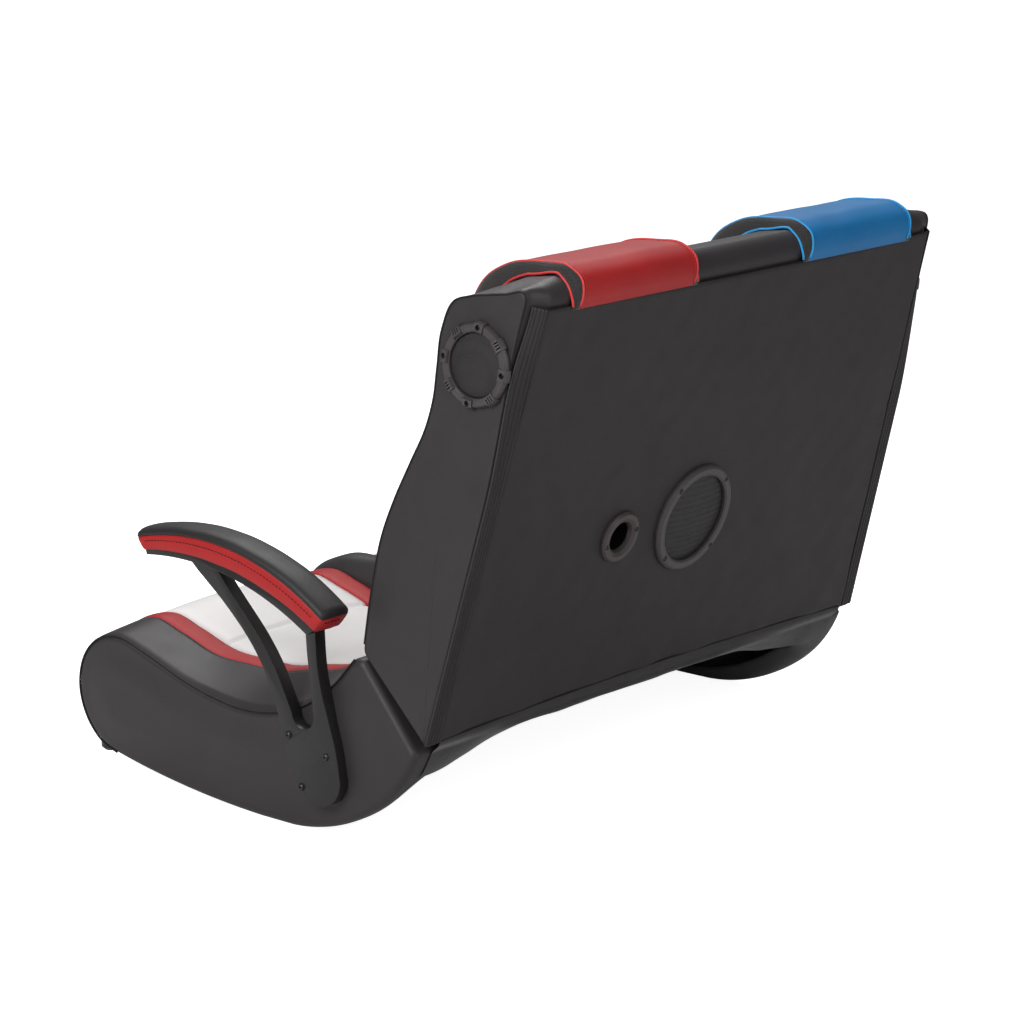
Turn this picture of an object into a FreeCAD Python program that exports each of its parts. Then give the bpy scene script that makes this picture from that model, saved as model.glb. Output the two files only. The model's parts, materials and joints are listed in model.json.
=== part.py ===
import FreeCAD, Part
import math
import os

V = FreeCAD.Vector
os.makedirs("parts", exist_ok=True)

# Two-seat floor rocker. Millimetres, x across with the sitter's left at +x, y to the rear, z up.
# The rockers touch the floor around the line y = 0, z = 0. The chair is centred at the end.

# Seat block
seat_width = 1100.0
end_width = 90.0
rocker_front_radius = 1850.0
rocker_rear_radius = 342.0
rocker_flat = 0.6
toe_y = -372.0
heel_y = 205.0
nose_y = -457.0
crest_z = 236.0
middle_crown = 12.0
dip_z = 170.0
middle_lift = 40.0
arch_front_z = 72.0
arch_middle_z = 60.0
core_foam = 46.0
cavity_front_y = -20.0
cavity_rear_y = 180.0

# Fold hinge, at the crease between seat and backrest
hinge_y = 166.0
hinge_z = 303.0
crease_round = 14.0
crease_clear = 6.6
split_run = 146.0
split_drop = 104.0
core_split = 141.0
top_slope = 42.0

# Backrest, drawn upright about the hinge axis and then leaned back
back_tilt = 15.2
back_height = 640.0
back_depth = 157.0
back_tail = 85.0
back_half = 542.0
back_taper = 0.052
lumbar = 18.0
neck = 15.0

# Upholstery panels, mirrored about the middle of the chair
divider_half = 25.0
stripe_width = 40.0
white_width = 355.0
panel_thickness = 12.0
panel_rise = 9.0
stripe_rise = 3.0
seat_channels = (-245.0, -90.0)
back_channels = (140.0, 290.0)
channel_radius = 12.0
channel_depth = 5.0
back_panel_thickness = 6.0
back_foam = 28.0
cavity_low = -10.0
cavity_high = 548.0

# Boards and rails
board_thickness = 15.0
board_inset = 16.0
board_setback = 40.0
rail_cover = 8.0
middle_rail_y = -60.0
rail_depth = 45.0
rail_height = 30.0
rail_start = 16.0
front_tube_radius = 17.0
front_tube_wall = 5.0
front_tube_y = -392.0
front_tube_z = 150.0
rear_board_thickness = 5.0
rear_board_low = -70.0
rear_board_top = 600.0
back_board_front = 52.0
back_board_top = 582.0
back_rail_front = 60.0
cloth_thickness = 2.0

# Rear cover
cover_thickness = 3.0
cover_top = 611.0
cover_bottom = -66.0
strip_width = 27.0
strip_thickness = 3.5
strip_tail = 15.0
flap_half = 515.0
flap_clear = 1.2

# Headrests
headrest_inner_x = 134.5
headrest_outer_x = 428.0
headrest_thickness = 26.0
headrest_mesh_width = 13.0
headrest_mesh_inset = 4.0

# Arms
arm_plate_thickness = 22.0
arm_pad_width = 60.0
arm_pad_inner = 545.0
arm_top_height = 8.0
arm_top_rise = 4.0
arm_rail_inset = 2.5
arm_screws = ((39.0, 156.0), (117.0, 136.0), (65.0, 78.0))
screw_radius = 3.0
screw_hole = 3.3
screw_head_radius = 6.0
screw_head_height = 3.3
screw_socket = 2.0
nut_radius = 10.0
nut_thickness = 2.0

# Front feet
foot_radius = 18.0
foot_round = 5.0
foot_height = 34.0
foot_y = -401.0
foot_z = 36.0
foot_setback = 20.0

# Hinges
hinge_x = 360.0
knuckle_radius = 5.5
pin_radius = 2.5
running_fit = 0.05
leaf_thickness = 3.0
leaf_length = 50.0
knuckle_length = 24.0
knuckle_gap = 0.4

# Subwoofer and port on the rear cover
sub_up = 192.0
sub_radius = 90.0
sub_mouth = 73.0
sub_height = 9.0
sub_mesh = 2.0
sub_cone_depth = 46.0
sub_hole = 68.0
port_x = 184.5
port_up = 195.0
port_radius = 42.0
port_bore = 23.0
port_wall = 3.0
port_length = 62.0
port_height = 8.0
box_depth = 78.0
box_wall = 9.0
box_margin = 16.0
button_head_radius = 4.0
button_head_height = 1.8

# Side speakers
speaker_back = 80.0
speaker_up = 500.0
speaker_radius = 65.0
speaker_mouth = 48.0
speaker_height = 9.0
speaker_block = 4.0
speaker_dome = 6.0
speaker_mesh = 1.6
speaker_cone_depth = 35.0
speaker_step = 3.0
speaker_turn = 15.0
speaker_block_width = 18.0
speaker_pocket = 49.0

# Control panel on the sitter's right end of the seat
panel_y = -262.0
panel_z = 122.0
panel_width = 118.0
panel_height = 52.0
panel_plate = 4.0
panel_housing = 20.0
panel_wall = 2.0
knob_radius = 9.0
knob_height = 12.0
knob_stand = 0.4
knob_ribs = 12
shaft_radius = 3.0
shaft_length = 12.0
control_pitch = 27.0
button_radius = 6.5
button_stand = 3.5
button_travel = 2.0
button_flange = 2.0
inlet_radius = 3.0
inlet_depth = 10.0
inlet_wall = 2.0
inlet_spread = 10.0

# Amplifier inside the front of the seat
amp_width = 260.0
amp_depth = 120.0
amp_height = 50.0
amp_y = -300.0
amp_z = 96.0

gap = 0.3
made = {}


def point(y, z):
    return V(0, y, z)


def unit(y, z):
    length = math.hypot(y, z)
    return (y / length, z / length)


def line(start, end):
    return Part.LineSegment(point(*start), point(*end)).toShape()


def arc(start, middle, end):
    return Part.Arc(point(*start), point(*middle), point(*end)).toShape()


def leaving_arc(start, way, end):
    """Arc from start to end, less than a half circle, that leaves start along way."""
    chord = (end[0] - start[0], end[1] - start[1])
    side = (-way[1], way[0])
    reach = chord[0] * side[0] + chord[1] * side[1]
    radius = (chord[0] ** 2 + chord[1] ** 2) / (2 * reach)
    centre = (start[0] + side[0] * radius, start[1] + side[1] * radius)
    out = unit(start[0] + end[0] - 2 * centre[0], start[1] + end[1] - 2 * centre[1])
    middle = (centre[0] + out[0] * abs(radius), centre[1] + out[1] * abs(radius))
    return arc(start, middle, end)


def spline(points, leave, arrive):
    curve = Part.BSplineCurve()
    curve.interpolate(Points=[point(*p) for p in points], InitialTangent=point(*leave),
                      FinalTangent=point(*arrive), Scale=False)
    return curve.toShape()


def shifted(points, leave, arrive, distance):
    """The points of a smooth curve moved along its left-hand normal."""
    if distance == 0:
        return list(points)
    curve = spline(points, leave, arrive).Curve
    moved = []
    for y, z in points:
        along = curve.tangent(curve.parameter(point(y, z)))[0]
        moved.append((y - along.z * distance, z + along.y * distance))
    return moved


def wire(edges, x=0.0):
    closed = Part.Wire(edges)
    closed.translate(V(x, 0, 0))
    return closed


def slab(edges, x0, x1):
    return Part.Face(wire(edges, x0)).extrude(V(x1 - x0, 0, 0))


def loop(points):
    return [line(points[i - 1], points[i]) for i in range(len(points))]


def box(x0, x1, y0, y1, z0, z1):
    return Part.makeBox(x1 - x0, y1 - y0, z1 - z0, V(x0, y0, z0))


def rod(radius, length, base, way=V(1, 0, 0)):
    return Part.makeCylinder(radius, length, base, way)


def revolved(points):
    """Solid of revolution about z from (radius, height) corners."""
    spots = [V(r, 0, h) for r, h in points]
    face = Part.Face(Part.makePolygon(spots + [spots[0]]))
    return face.revolve(V(0, 0, 0), V(0, 0, 1), 360)


def without(shape, *tools):
    for tool in tools:
        shape = shape.cut(tool)
    return shape


def mirrored(shape):
    return shape.mirror(V(0, 0, 0), V(1, 0, 0))


def group(shapes):
    return Part.makeCompound(shapes)


def keep(name, shape):
    made[name] = shape


def keep_pair(name, shape):
    keep(name + "_left", shape)
    keep(name + "_right", mirrored(shape))


def crease(front_way, back_way, radius):
    """Round between two runs that meet at the hinge: its two ends and its middle."""
    half = math.acos(front_way[0] * back_way[0] + front_way[1] * back_way[1]) / 2
    reach = radius / math.tan(half)
    middle = unit(front_way[0] + back_way[0], front_way[1] + back_way[1])
    depth = radius / math.sin(half) - radius
    ends = [(way[0] * reach, way[1] * reach) for way in (front_way, back_way)]
    return ends[0], (middle[0] * depth, middle[1] * depth), ends[1]


def panel(points, leave, arrive, x0, x1, rise, thickness):
    """Upholstered panel on a smooth curve, crowned by rise between its side seams."""
    middle = (x0 + x1) / 2
    sections = []
    last = len(points) - 1
    fades = [min(1.0, 0.6 * k, 0.6 * (last - k)) for k in range(last + 1)]
    high = shifted(points, leave, arrive, rise)
    for share in (-1.0, -0.6, 0.0, 0.6, 1.0):
        lifts = [fade * (1 - share * share) for fade in fades]
        top = [(p[0] + lift * (h[0] - p[0]), p[1] + lift * (h[1] - p[1]))
               for p, h, lift in zip(points, high, lifts)]
        bottom = shifted(points, leave, arrive, -thickness)
        edges = [spline(top, leave, arrive), line(top[-1], bottom[-1]),
                 spline(bottom, leave, arrive), line(bottom[0], top[0])]
        sections.append(wire(edges, middle + share * (x1 - x0) / 2))
    return Part.makeLoft(sections, True, False)


# Seat outline

lean = math.radians(back_tilt)
split_end = (hinge_y + math.cos(lean) * split_run - math.sin(lean) * split_drop,
             hinge_z - math.sin(lean) * split_run - math.cos(lean) * split_drop)
split_way = unit(split_end[0] - hinge_y, split_end[1] - hinge_z)
top_way = (math.cos(math.radians(top_slope)), math.sin(math.radians(top_slope)))
seat_half = seat_width / 2
end_inner = seat_half - end_width
tail, tail_round, split_start = [
    (hinge_y + y, hinge_z + z)
    for y, z in crease((-top_way[0], -top_way[1]), split_way, crease_round)]


def rocker_z(y):
    radius = rocker_front_radius if y < 0 else rocker_rear_radius
    return radius - math.sqrt(radius * radius - y * y) - rocker_flat


def flat_end(radius):
    return math.sqrt(radius * radius - (radius - rocker_flat) ** 2)


toe = (toe_y, rocker_z(toe_y))
heel = (heel_y, rocker_z(heel_y))
toe_way = unit(-(rocker_front_radius - toe[1]), -toe_y)
heel_way = unit(rocker_rear_radius - heel[1], heel_y)


def seat_top(middle):
    """Top of the seat from toe to crease: the end blocks dip lower than the middle."""
    crown = middle_crown if middle else 0.0
    lift = middle_lift if middle else 0.0
    return [toe, (nose_y + 18, 82), (nose_y, 135), (nose_y + 14, 192 + crown / 3),
            (nose_y + 46, crest_z - 12 + 0.8 * crown), (nose_y + 90, crest_z + crown),
            (nose_y + 152, crest_z - 14 + crown), (-226, dip_z + 25 + 0.4 * lift),
            (-151, dip_z + 7 + 0.8 * lift), (-88, dip_z + lift), (-26, dip_z + 5 + 1.2 * lift),
            (42, dip_z + 27 + lift), (107, dip_z + 71 + 0.65 * lift), tail]


def seat_outline(middle):
    front_flat = -flat_end(rocker_front_radius)
    rear_flat = flat_end(rocker_rear_radius)
    front_mid = (toe_y / 2, rocker_z(toe_y / 2))
    rear_mid = (heel_y / 2, rocker_z(heel_y / 2))
    return [arc((front_flat, 0.0), front_mid, toe), spline(seat_top(middle), toe_way, top_way),
            arc(tail, tail_round, split_start), line(split_start, split_end),
            leaving_arc(heel, heel_way, split_end), arc(heel, rear_mid, (rear_flat, 0.0)),
            line((rear_flat, 0.0), (front_flat, 0.0))]


def about_hinge(shape, degrees):
    turned = shape.copy()
    turned.rotate(V(0, hinge_y, hinge_z), V(1, 0, 0), degrees)
    return turned


def on_split(shape):
    """Moves a shape drawn with y down the split line and z out of the seat."""
    shape.translate(V(0, hinge_y, hinge_z))
    return about_hinge(shape, math.degrees(math.atan2(split_way[1], split_way[0])))


core_end = (hinge_y + split_way[0] * core_split, hinge_z + split_way[1] * core_split)


def sunk_top(depth):
    return shifted(seat_top(True), toe_way, top_way, -depth)


def underside():
    """Arched underside of the seat between the two rockers."""
    return [sunk_top(panel_thickness + gap)[0], (-230, arch_front_z), (-60, arch_middle_z),
            (110, arch_middle_z + 34), (core_end[0] - 3, core_end[1] - 4)]


def cavity_outline():
    """Hollow under the seat's rear foam, open to the arch below."""
    roof = [(y, z) for y, z in sunk_top(panel_thickness + core_foam)
            if cavity_front_y <= y <= cavity_rear_y]
    floor = [(roof[-1][0], underside()[3][1] - 60), (roof[0][0], arch_middle_z - 60)]
    return [smooth(roof), line(roof[-1], floor[0]), line(floor[0], floor[1]), line(floor[1], roof[0])]


under_leave = unit(1.0, 0.35)
under_arrive = unit(0.6, 1.0)


def core_outline(depth):
    """Middle of the seat below its panels, as a closed outline."""
    top = sunk_top(depth)
    bottom = underside()
    corner = (hinge_y + split_way[0] * (crease_round + 12), hinge_z + split_way[1] * (crease_round + 12))
    return [spline(top, toe_way, top_way), line(top[-1], corner), line(corner, core_end),
            line(core_end, bottom[-1]), spline(bottom, under_leave, under_arrive)]


def board_outline():
    """Outline of an end board, set in from the end block's outline."""
    top = shifted(seat_top(False), toe_way, top_way, -board_inset)
    front = rocker_front_radius
    rear = rocker_rear_radius
    low = (0.0, board_inset)
    front_mid = (toe_y / 2 * (1 - board_inset / front), rocker_z(toe_y / 2) + board_inset)
    rear_share = 1 - board_inset / rear
    rear_mid = (heel_y / 2 * rear_share, rear - (rear - rocker_z(heel_y / 2)) * rear_share)
    heel_in = (heel_y * rear_share, rear - (rear - rocker_z(heel_y)) * rear_share)
    rear_in = (split_end[0] + board_inset * (split_way[1] - split_way[0]),
               split_end[1] - board_inset * (split_way[0] + split_way[1]))
    return [arc(low, front_mid, top[0]), spline(top, toe_way, top_way), line(top[-1], rear_in),
            line(rear_in, heel_in), arc(heel_in, rear_mid, low)]


def seat_frame():
    """End board, rear rail, middle rail and the front tube with the bore it leaves out."""
    reach = end_inner + board_setback
    board = slab(board_outline(), reach, reach + board_thickness)
    rear = on_split(box(-reach, reach, rail_start, rail_start + rail_depth,
                        -knuckle_radius - rail_height, -knuckle_radius))
    tube = rod(front_tube_radius, 2 * reach, V(-reach, front_tube_y, front_tube_z))
    bore = rod(front_tube_radius - front_tube_wall, 2 * reach, V(-reach, front_tube_y, front_tube_z))
    low = arch_middle_z + rail_cover
    middle = box(-reach, reach, middle_rail_y - rail_depth, middle_rail_y, low, low + rail_height)
    return board, rear, middle, tube, bore


def hinge_parts():
    """One hinge in the hinge frame: seat leaf, backrest leaf and pin."""
    span = knuckle_length * 1.5
    seat_side = []
    for x in (-span, knuckle_length / 2):
        barrel = rod(knuckle_radius, knuckle_length, V(x, 0, 0))
        leaf = box(x, x + knuckle_length, 0, leaf_length, -knuckle_radius, leaf_thickness - knuckle_radius)
        seat_side.append(barrel.fuse(leaf))
    bridge = box(-span, span, knuckle_radius * 1.6, leaf_length, -knuckle_radius,
                 leaf_thickness - knuckle_radius)
    seat_leaf = seat_side[0].fuse([seat_side[1], bridge]).removeSplitter()
    half = knuckle_length / 2 - knuckle_gap
    barrel = rod(knuckle_radius, 2 * half, V(-half, 0, 0))
    web = box(-half, half, 0, leaf_length, knuckle_radius - leaf_thickness, knuckle_radius)
    wide = box(-span, span, knuckle_radius * 1.6, leaf_length, knuckle_radius - leaf_thickness,
               knuckle_radius)
    back_leaf = barrel.fuse([web, wide]).removeSplitter()
    bore = rod(pin_radius + running_fit, 4 * span, V(-2 * span, 0, 0))
    pin = rod(pin_radius, 2 * span, V(-span, 0, 0))
    return seat_leaf.cut(bore), back_leaf.cut(bore), pin


back_edge = (back_depth, -back_tail)
back_way = unit(*back_edge)
front_way = unit(-0.13, 0.99)
front_start, front_round, bottom_start = crease(front_way, back_way, crease_round)
back_angle = math.degrees(math.atan2(back_edge[1], back_edge[0]))


def back_front():
    """Front of the backrest from crease to top, as (back, up) about the hinge."""
    return [front_start, (-lumbar + 5, 100), (-lumbar, 190), (-lumbar + 7, 250), (2, 315),
            (neck - 1, 375), (neck, 420), (8, 467), (0, 525), (9, 572), (42, back_height - 46)]


back_top = (128.0, back_height - 10)
top_leave = unit(back_top[0] - 42, back_top[1] - (back_height - 46))


def back_outline(sink=0.0):
    front = shifted(back_front(), front_way, top_leave, -sink)
    corner = (back_depth - 4, back_height - 28)
    start = [line(front_start, front[0])] if sink else []
    end = [line(front[-1], back_front()[-1])] if sink else []
    return start + [spline(front, front_way, top_leave)] + end + [
        line(back_front()[-1], back_top), leaving_arc(back_top, top_leave, corner),
        line(corner, back_edge), line(back_edge, bottom_start),
        arc(bottom_start, front_round, front_start)]


def half_at(up):
    return back_half - back_taper * up


def tapered(shape, inset=0.0):
    """Trims a shape to the backrest's tapered front view."""
    low, high = -200.0, back_height + 100
    spots = [V(half_at(low) - inset, 0, low), V(half_at(high) - inset, 0, high),
             V(inset - half_at(high), 0, high), V(inset - half_at(low), 0, low)]
    face = Part.Face(Part.makePolygon(spots + [spots[0]]))
    face.translate(V(0, -300, 0))
    return shape.common(face.extrude(V(0, 700, 0)))


def on_side(shape, back, up):
    """Places a shape drawn about z onto the left side face: x runs back and y runs up."""
    slope = math.atan(back_taper)
    matrix = FreeCAD.Matrix(0, -math.sin(slope), math.cos(slope), half_at(up),
                            1, 0, 0, back,
                            0, math.cos(slope), math.sin(slope), up, 0, 0, 0, 1)
    placed = shape.copy()
    placed.Placement = FreeCAD.Placement(matrix).multiply(placed.Placement)
    return placed


def on_rear(shape, x, up, back=None):
    """Places a shape drawn about z onto the rear face: z runs to the rear."""
    placed = shape.copy()
    placed.rotate(V(0, 0, 0), V(1, 0, 0), -90)
    placed.translate(V(x, back_depth if back is None else back, up))
    return placed


def leaned(shape):
    placed = shape.copy()
    placed.translate(V(0, hinge_y, hinge_z))
    placed.rotate(V(0, hinge_y, hinge_z), V(1, 0, 0), -back_tilt)
    return placed


def keep_back(name, shape):
    keep(name, leaned(shape))


def keep_back_pair(name, shape):
    keep_pair(name, leaned(shape))


def panel_edges():
    """Seams across the chair: divider, inner stripe, white panel, outer stripe."""
    inner = divider_half
    white = inner + stripe_width
    outer = white + white_width
    return inner, white, outer, outer + stripe_width


def build_seat():
    board, rear, middle, tube, bore = seat_frame()
    hinge_recess = [on_split(box(x - 1.6 * knuckle_length, x + 1.6 * knuckle_length, 0,
                                 leaf_length + 1, -knuckle_radius, 2)) for x in (-hinge_x, hinge_x)]
    crease_rod = rod(crease_clear, 1.2 * seat_width, V(-0.6 * seat_width, hinge_y, hinge_z))
    inner, white, outer, end = panel_edges()

    block = Part.makeLoft([wire(seat_outline(True), end_inner), wire(seat_outline(False), seat_half)],
                          True, True)
    screw_holes = [rod(screw_hole, 100, V(end_inner + 30, y, z)) for y, z in arm_screws]
    nut_holes = [rod(nut_radius + gap, nut_thickness + 4, V(end_inner + 36 - nut_thickness, y, z))
                 for y, z in arm_screws]
    board = without(board, *screw_holes)
    keep("end_boards", group([board, mirrored(board)]))
    keep("rear_rail", rear)
    keep("middle_rail", middle)
    keep("front_tube", tube.cut(bore))

    core = slab(core_outline(panel_thickness + gap), -end_inner, end_inner)
    hollow = slab(cavity_outline(), -end_inner, end_inner)
    amp = box(-amp_width / 2, amp_width / 2, amp_y - amp_depth / 2, amp_y + amp_depth / 2,
              amp_z, amp_z + amp_height)
    core = without(core, hollow, rear, middle, tube, crease_rod, amp, *hinge_recess)
    keep("seat_core", core)
    keep("amplifier", amp)
    top = (seat_top(True), toe_way, top_way)
    grooves = [groove(*top, y, None, panel_rise) for y in seat_channels]
    keep_pair("seat_white", without(panel(*top, white, outer, panel_rise, panel_thickness),
                                    *grooves))
    stripes = [panel(*top, inner, white, stripe_rise, panel_thickness),
               panel(*top, outer, end, stripe_rise, panel_thickness)]
    keep_pair("seat_stripes", group(stripes))
    keep("seat_divider", panel(*top, -inner, inner, stripe_rise, panel_thickness))

    bottom = underside()
    high = shifted(bottom, under_leave, under_arrive, -gap)
    low = shifted(bottom, under_leave, under_arrive, -gap - cloth_thickness)
    edges = [spline(high, under_leave, under_arrive), line(high[-1], low[-1]),
             spline(low, under_leave, under_arrive), line(low[0], high[0])]
    keep("underside_cloth", slab(edges, gap - end_inner, end_inner - gap))

    foot = revolved([(0, 0), (foot_radius - foot_round, 0), (foot_radius, foot_round),
                     (foot_radius, foot_height), (0, foot_height)])
    foot.translate(V(seat_half - foot_setback, foot_y, foot_z))
    foot = foot.cut(block)
    keep("front_feet", group([foot, mirrored(foot)]))

    block = without(block, board, rear, middle, tube, crease_rod, *screw_holes, *nut_holes)
    housing = end_face(box(-panel_width / 2 + 4 - gap, panel_width / 2 - 4 + gap,
                           -panel_height / 2 + 4 - gap, panel_height / 2 - 4 + gap,
                           -panel_housing - gap, 1), panel_y, panel_z)
    keep("end_block_left", block)
    keep("end_block_right", mirrored(block.cut(housing)))


def end_face(shape, y, z):
    """Places a shape drawn about z onto the seat's left end: x runs back and y runs up."""
    placed = shape.copy()
    placed.Placement = FreeCAD.Placement(FreeCAD.Matrix(
        0, 0, 1, seat_half, 1, 0, 0, y, 0, 1, 0, z, 0, 0, 0, 1)).multiply(placed.Placement)
    return placed


def groove(points, leave, arrive, y, z, rise):
    """Sewn channel across a panel, at a given y or height z."""
    curve = spline(points, leave, arrive).Curve
    for (y0, z0), (y1, z1) in zip(points, points[1:]):
        if z is None and y0 <= y <= y1 and z0 > 100:
            guess = (y, z0 + (z1 - z0) * (y - y0) / (y1 - y0))
        if y is None and z0 <= z <= z1:
            guess = (y0 + (y1 - y0) * (z - z0) / (z1 - z0), z)
    parameter = curve.parameter(point(*guess))
    spot = curve.value(parameter)
    along = curve.tangent(parameter)[0]
    out = V(0, -along.z, along.y)
    centre = spot + out * (rise + channel_radius - channel_depth)
    return rod(channel_radius, 2 * seat_width, centre - V(seat_width, 0, 0))


def smooth(points):
    leave = unit(points[1][0] - points[0][0], points[1][1] - points[0][1])
    arrive = unit(points[-1][0] - points[-2][0], points[-1][1] - points[-2][1])
    return spline(points, leave, arrive)


def screw(radius, length, head_radius, head_height, socket):
    """Button-head screw about z, head above z = 0."""
    dome = revolved([(0, 0), (head_radius, 0), (head_radius * 0.92, head_height * 0.6),
                     (head_radius * 0.6, head_height), (0, head_height)])
    hexagon = Part.makePolygon([V(socket * math.cos(math.radians(60 * k)),
                                  socket * math.sin(math.radians(60 * k)),
                                  head_height * 0.4) for k in range(7)])
    key = Part.Face(hexagon).extrude(V(0, 0, head_height))
    return dome.fuse(rod(radius, length, V(0, 0, -length), V(0, 0, 1))).cut(key)


seam = ((-250, 434), (-62, 446), (140, 368))
band_low = ((-236, 413), (-62, 410), (125, 343))
rail_low = ((-232, 402), (-62, 398), (110, 333))


def strip_between(high, low, x0, x1):
    return slab([arc(*high), line(high[2], low[2]), arc(low[2], low[1], low[0]),
                 line(low[0], high[0])], x0, x1)


def build_arms():
    pad_outer = arm_pad_inner + arm_pad_width
    band = strip_between(seam, band_low, arm_pad_inner, pad_outer)
    crown = [(y, z) for y, z in arc_points(seam, 7)]
    leave = unit(crown[1][0] - crown[0][0], crown[1][1] - crown[0][1])
    arrive = unit(crown[-1][0] - crown[-2][0], crown[-1][1] - crown[-2][1])
    top = pad_top(crown, leave, arrive, arm_pad_inner, pad_outer)
    rail = strip_between(band_low, rail_low, arm_pad_inner + arm_rail_inset, pad_outer - arm_rail_inset)
    edges = [smooth([(-180, 411), (-162, 394), (-107, 352), (-64, 315), (-21, 266), (8, 211),
                     (27, 155), (42, 113), (53, 88)]),
             arc((53, 88), (98, 54), (146, 100)),
             smooth([(146, 100), (137, 150), (116, 215), (102, 273), (97, 345)]),
             line((97, 345), (76, 357)),
             smooth([(76, 357), (80, 300), (87, 240), (93, 196)]),
             arc((93, 196), (70, 171), (47, 192)),
             smooth([(47, 192), (11, 259), (-31, 312), (-85, 366), (-120, 406)]),
             line((-120, 406), (-180, 411))]
    bracket = slab(edges, seat_half, seat_half + arm_plate_thickness)
    frame = bracket.fuse(rail).removeSplitter()
    holes = [rod(screw_hole, 60, V(seat_half - 10, y, z)) for y, z in arm_screws]
    keep_pair("arm_frame", without(frame, *holes))
    keep_pair("arm_band", band)
    keep_pair("arm_top", top)
    reach = seat_half + arm_plate_thickness - (end_inner + 38 - nut_thickness)
    one = screw(screw_radius, reach, screw_head_radius, screw_head_height, screw_socket)
    one.rotate(V(0, 0, 0), V(0, 1, 0), 90)
    screws = []
    nuts = []
    for y, z in arm_screws:
        placed = one.copy()
        placed.translate(V(seat_half + arm_plate_thickness, y, z))
        screws.append(placed)
        nut = rod(nut_radius, nut_thickness, V(end_inner + 40 - nut_thickness, y, z))
        nuts.append(nut.cut(rod(screw_radius + running_fit, 20, V(end_inner + 30, y, z))))
    keep("arm_screws", group(screws + [mirrored(s) for s in screws]))
    keep("arm_nuts", group(nuts + [mirrored(n) for n in nuts]))


def arc_points(three, count):
    edge = arc(*three)
    return [(p.y, p.z) for p in edge.discretize(count)]


def pad_top(points, leave, arrive, x0, x1):
    """Crowned vinyl top of an arm pad, drawn in at its sides."""
    sections = []
    for share, rise in ((-1.0, 2.0), (-0.75, 0.8 * arm_top_height), (0.0, arm_top_height),
                        (0.75, 0.8 * arm_top_height), (1.0, 2.0)):
        top = shifted(points, leave, arrive, rise)
        edges = [spline(top, leave, arrive), line(top[-1], points[-1]),
                 arc(seam[2], seam[1], seam[0]), line(points[0], top[0])]
        sections.append(wire(edges, (x0 + x1) / 2 + share * (x1 - x0) / 2))
    return Part.makeLoft(sections, True, False)


def build_hinges():
    seat_leaf, back_leaf, pin = hinge_parts()
    seat_leaves = []
    back_leaves = []
    pins = []
    for x in (-hinge_x, hinge_x):
        leaf = on_split(seat_leaf.copy())
        leaf.translate(V(x, 0, 0))
        seat_leaves.append(leaf)
        other = back_leaf.copy()
        other.rotate(V(0, 0, 0), V(1, 0, 0), back_angle)
        other = leaned(other)
        other.translate(V(x, 0, 0))
        back_leaves.append(other)
        one = pin.copy()
        one.translate(V(x, hinge_y, hinge_z))
        pins.append(one)
    keep("seat_hinge_leaves", group(seat_leaves))
    keep("back_hinge_leaves", group(back_leaves))
    keep("hinge_pins", group(pins))


def build_controls():
    half_w = panel_width / 2
    half_h = panel_height / 2
    plate = rounded_plate(half_w, half_h, 8.0, 0, panel_plate)
    shell = box(-half_w + 4, half_w - 4, -half_h + 4, half_h - 4, -panel_housing, 0)
    inside = box(-half_w + 4 + panel_wall, half_w - 4 - panel_wall, -half_h + 4 + panel_wall,
                 half_h - 4 - panel_wall, panel_wall - panel_housing, 0)
    shell = shell.cut(inside)
    spots = [(k - 1.5) * control_pitch for k in range(4)]
    inlet_bosses = []
    inlet_bores = []
    for up in (-inlet_spread, inlet_spread):
        inlet_bosses.append(rod(inlet_radius + inlet_wall, inlet_depth, V(spots[3], up, panel_plate - inlet_depth),
                                V(0, 0, 1)))
        inlet_bores.append(rod(inlet_radius, inlet_depth - inlet_wall,
                               V(spots[3], up, panel_plate - inlet_depth + inlet_wall), V(0, 0, 1)))
    body = plate.fuse([shell] + inlet_bosses)
    for x in spots[:2]:
        body = body.cut(rod(shaft_radius + running_fit, 20, V(x, 0, -5), V(0, 0, 1)))
    body = body.cut(rod(button_radius + gap, 20, V(spots[2], 0, -5), V(0, 0, 1)))
    body = without(body, *[b.fuse(rod(inlet_radius, 1, V(spots[3], b.BoundBox.Center.y, panel_plate), V(0, 0, 1)))
                           for b in inlet_bores])
    knob = revolved([(0, panel_plate - shaft_length), (shaft_radius, panel_plate - shaft_length),
                     (shaft_radius, panel_plate + knob_stand), (knob_radius, panel_plate + knob_stand),
                     (knob_radius, panel_plate + knob_height - 1.5),
                     (knob_radius - 1.5, panel_plate + knob_height), (0, panel_plate + knob_height)])
    for k in range(knob_ribs):
        turn = 2 * math.pi * k / knob_ribs
        knob = knob.cut(rod(0.9, knob_height, V(knob_radius * math.cos(turn), knob_radius * math.sin(turn),
                                                panel_plate + 2), V(0, 0, 1)))
    knob = knob.cut(box(-0.5, 0.5, 2.5, knob_radius - 2, panel_plate + knob_height - 0.6,
                        panel_plate + knob_height + 1))
    button = revolved([(0, -button_flange - gap), (button_radius + 1.5, -button_flange - gap),
                       (button_radius + 1.5, -gap), (button_radius, -gap),
                       (button_radius, panel_plate + button_stand - 0.8),
                       (button_radius - 0.8, panel_plate + button_stand), (0, panel_plate + button_stand)])
    for name, shape, x in (("control_panel", body, 0.0), ("volume_knob", knob, spots[0]),
                           ("bass_knob", knob, spots[1]), ("power_button", button, spots[2])):
        keep(name, mirrored(end_face(shape, panel_y + x, panel_z)))
        print(name, "at", -seat_half, panel_y + x, panel_z)


def rounded_plate(half_w, half_h, radius, z0, z1):
    plate = box(-half_w, half_w, -half_h, half_h, z0, z1)
    corners = [e for e in plate.Edges if abs(e.Vertexes[0].Z - e.Vertexes[1].Z) > 0.5 * (z1 - z0)]
    return plate.makeFillet(radius, corners)


# Backrest

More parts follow.
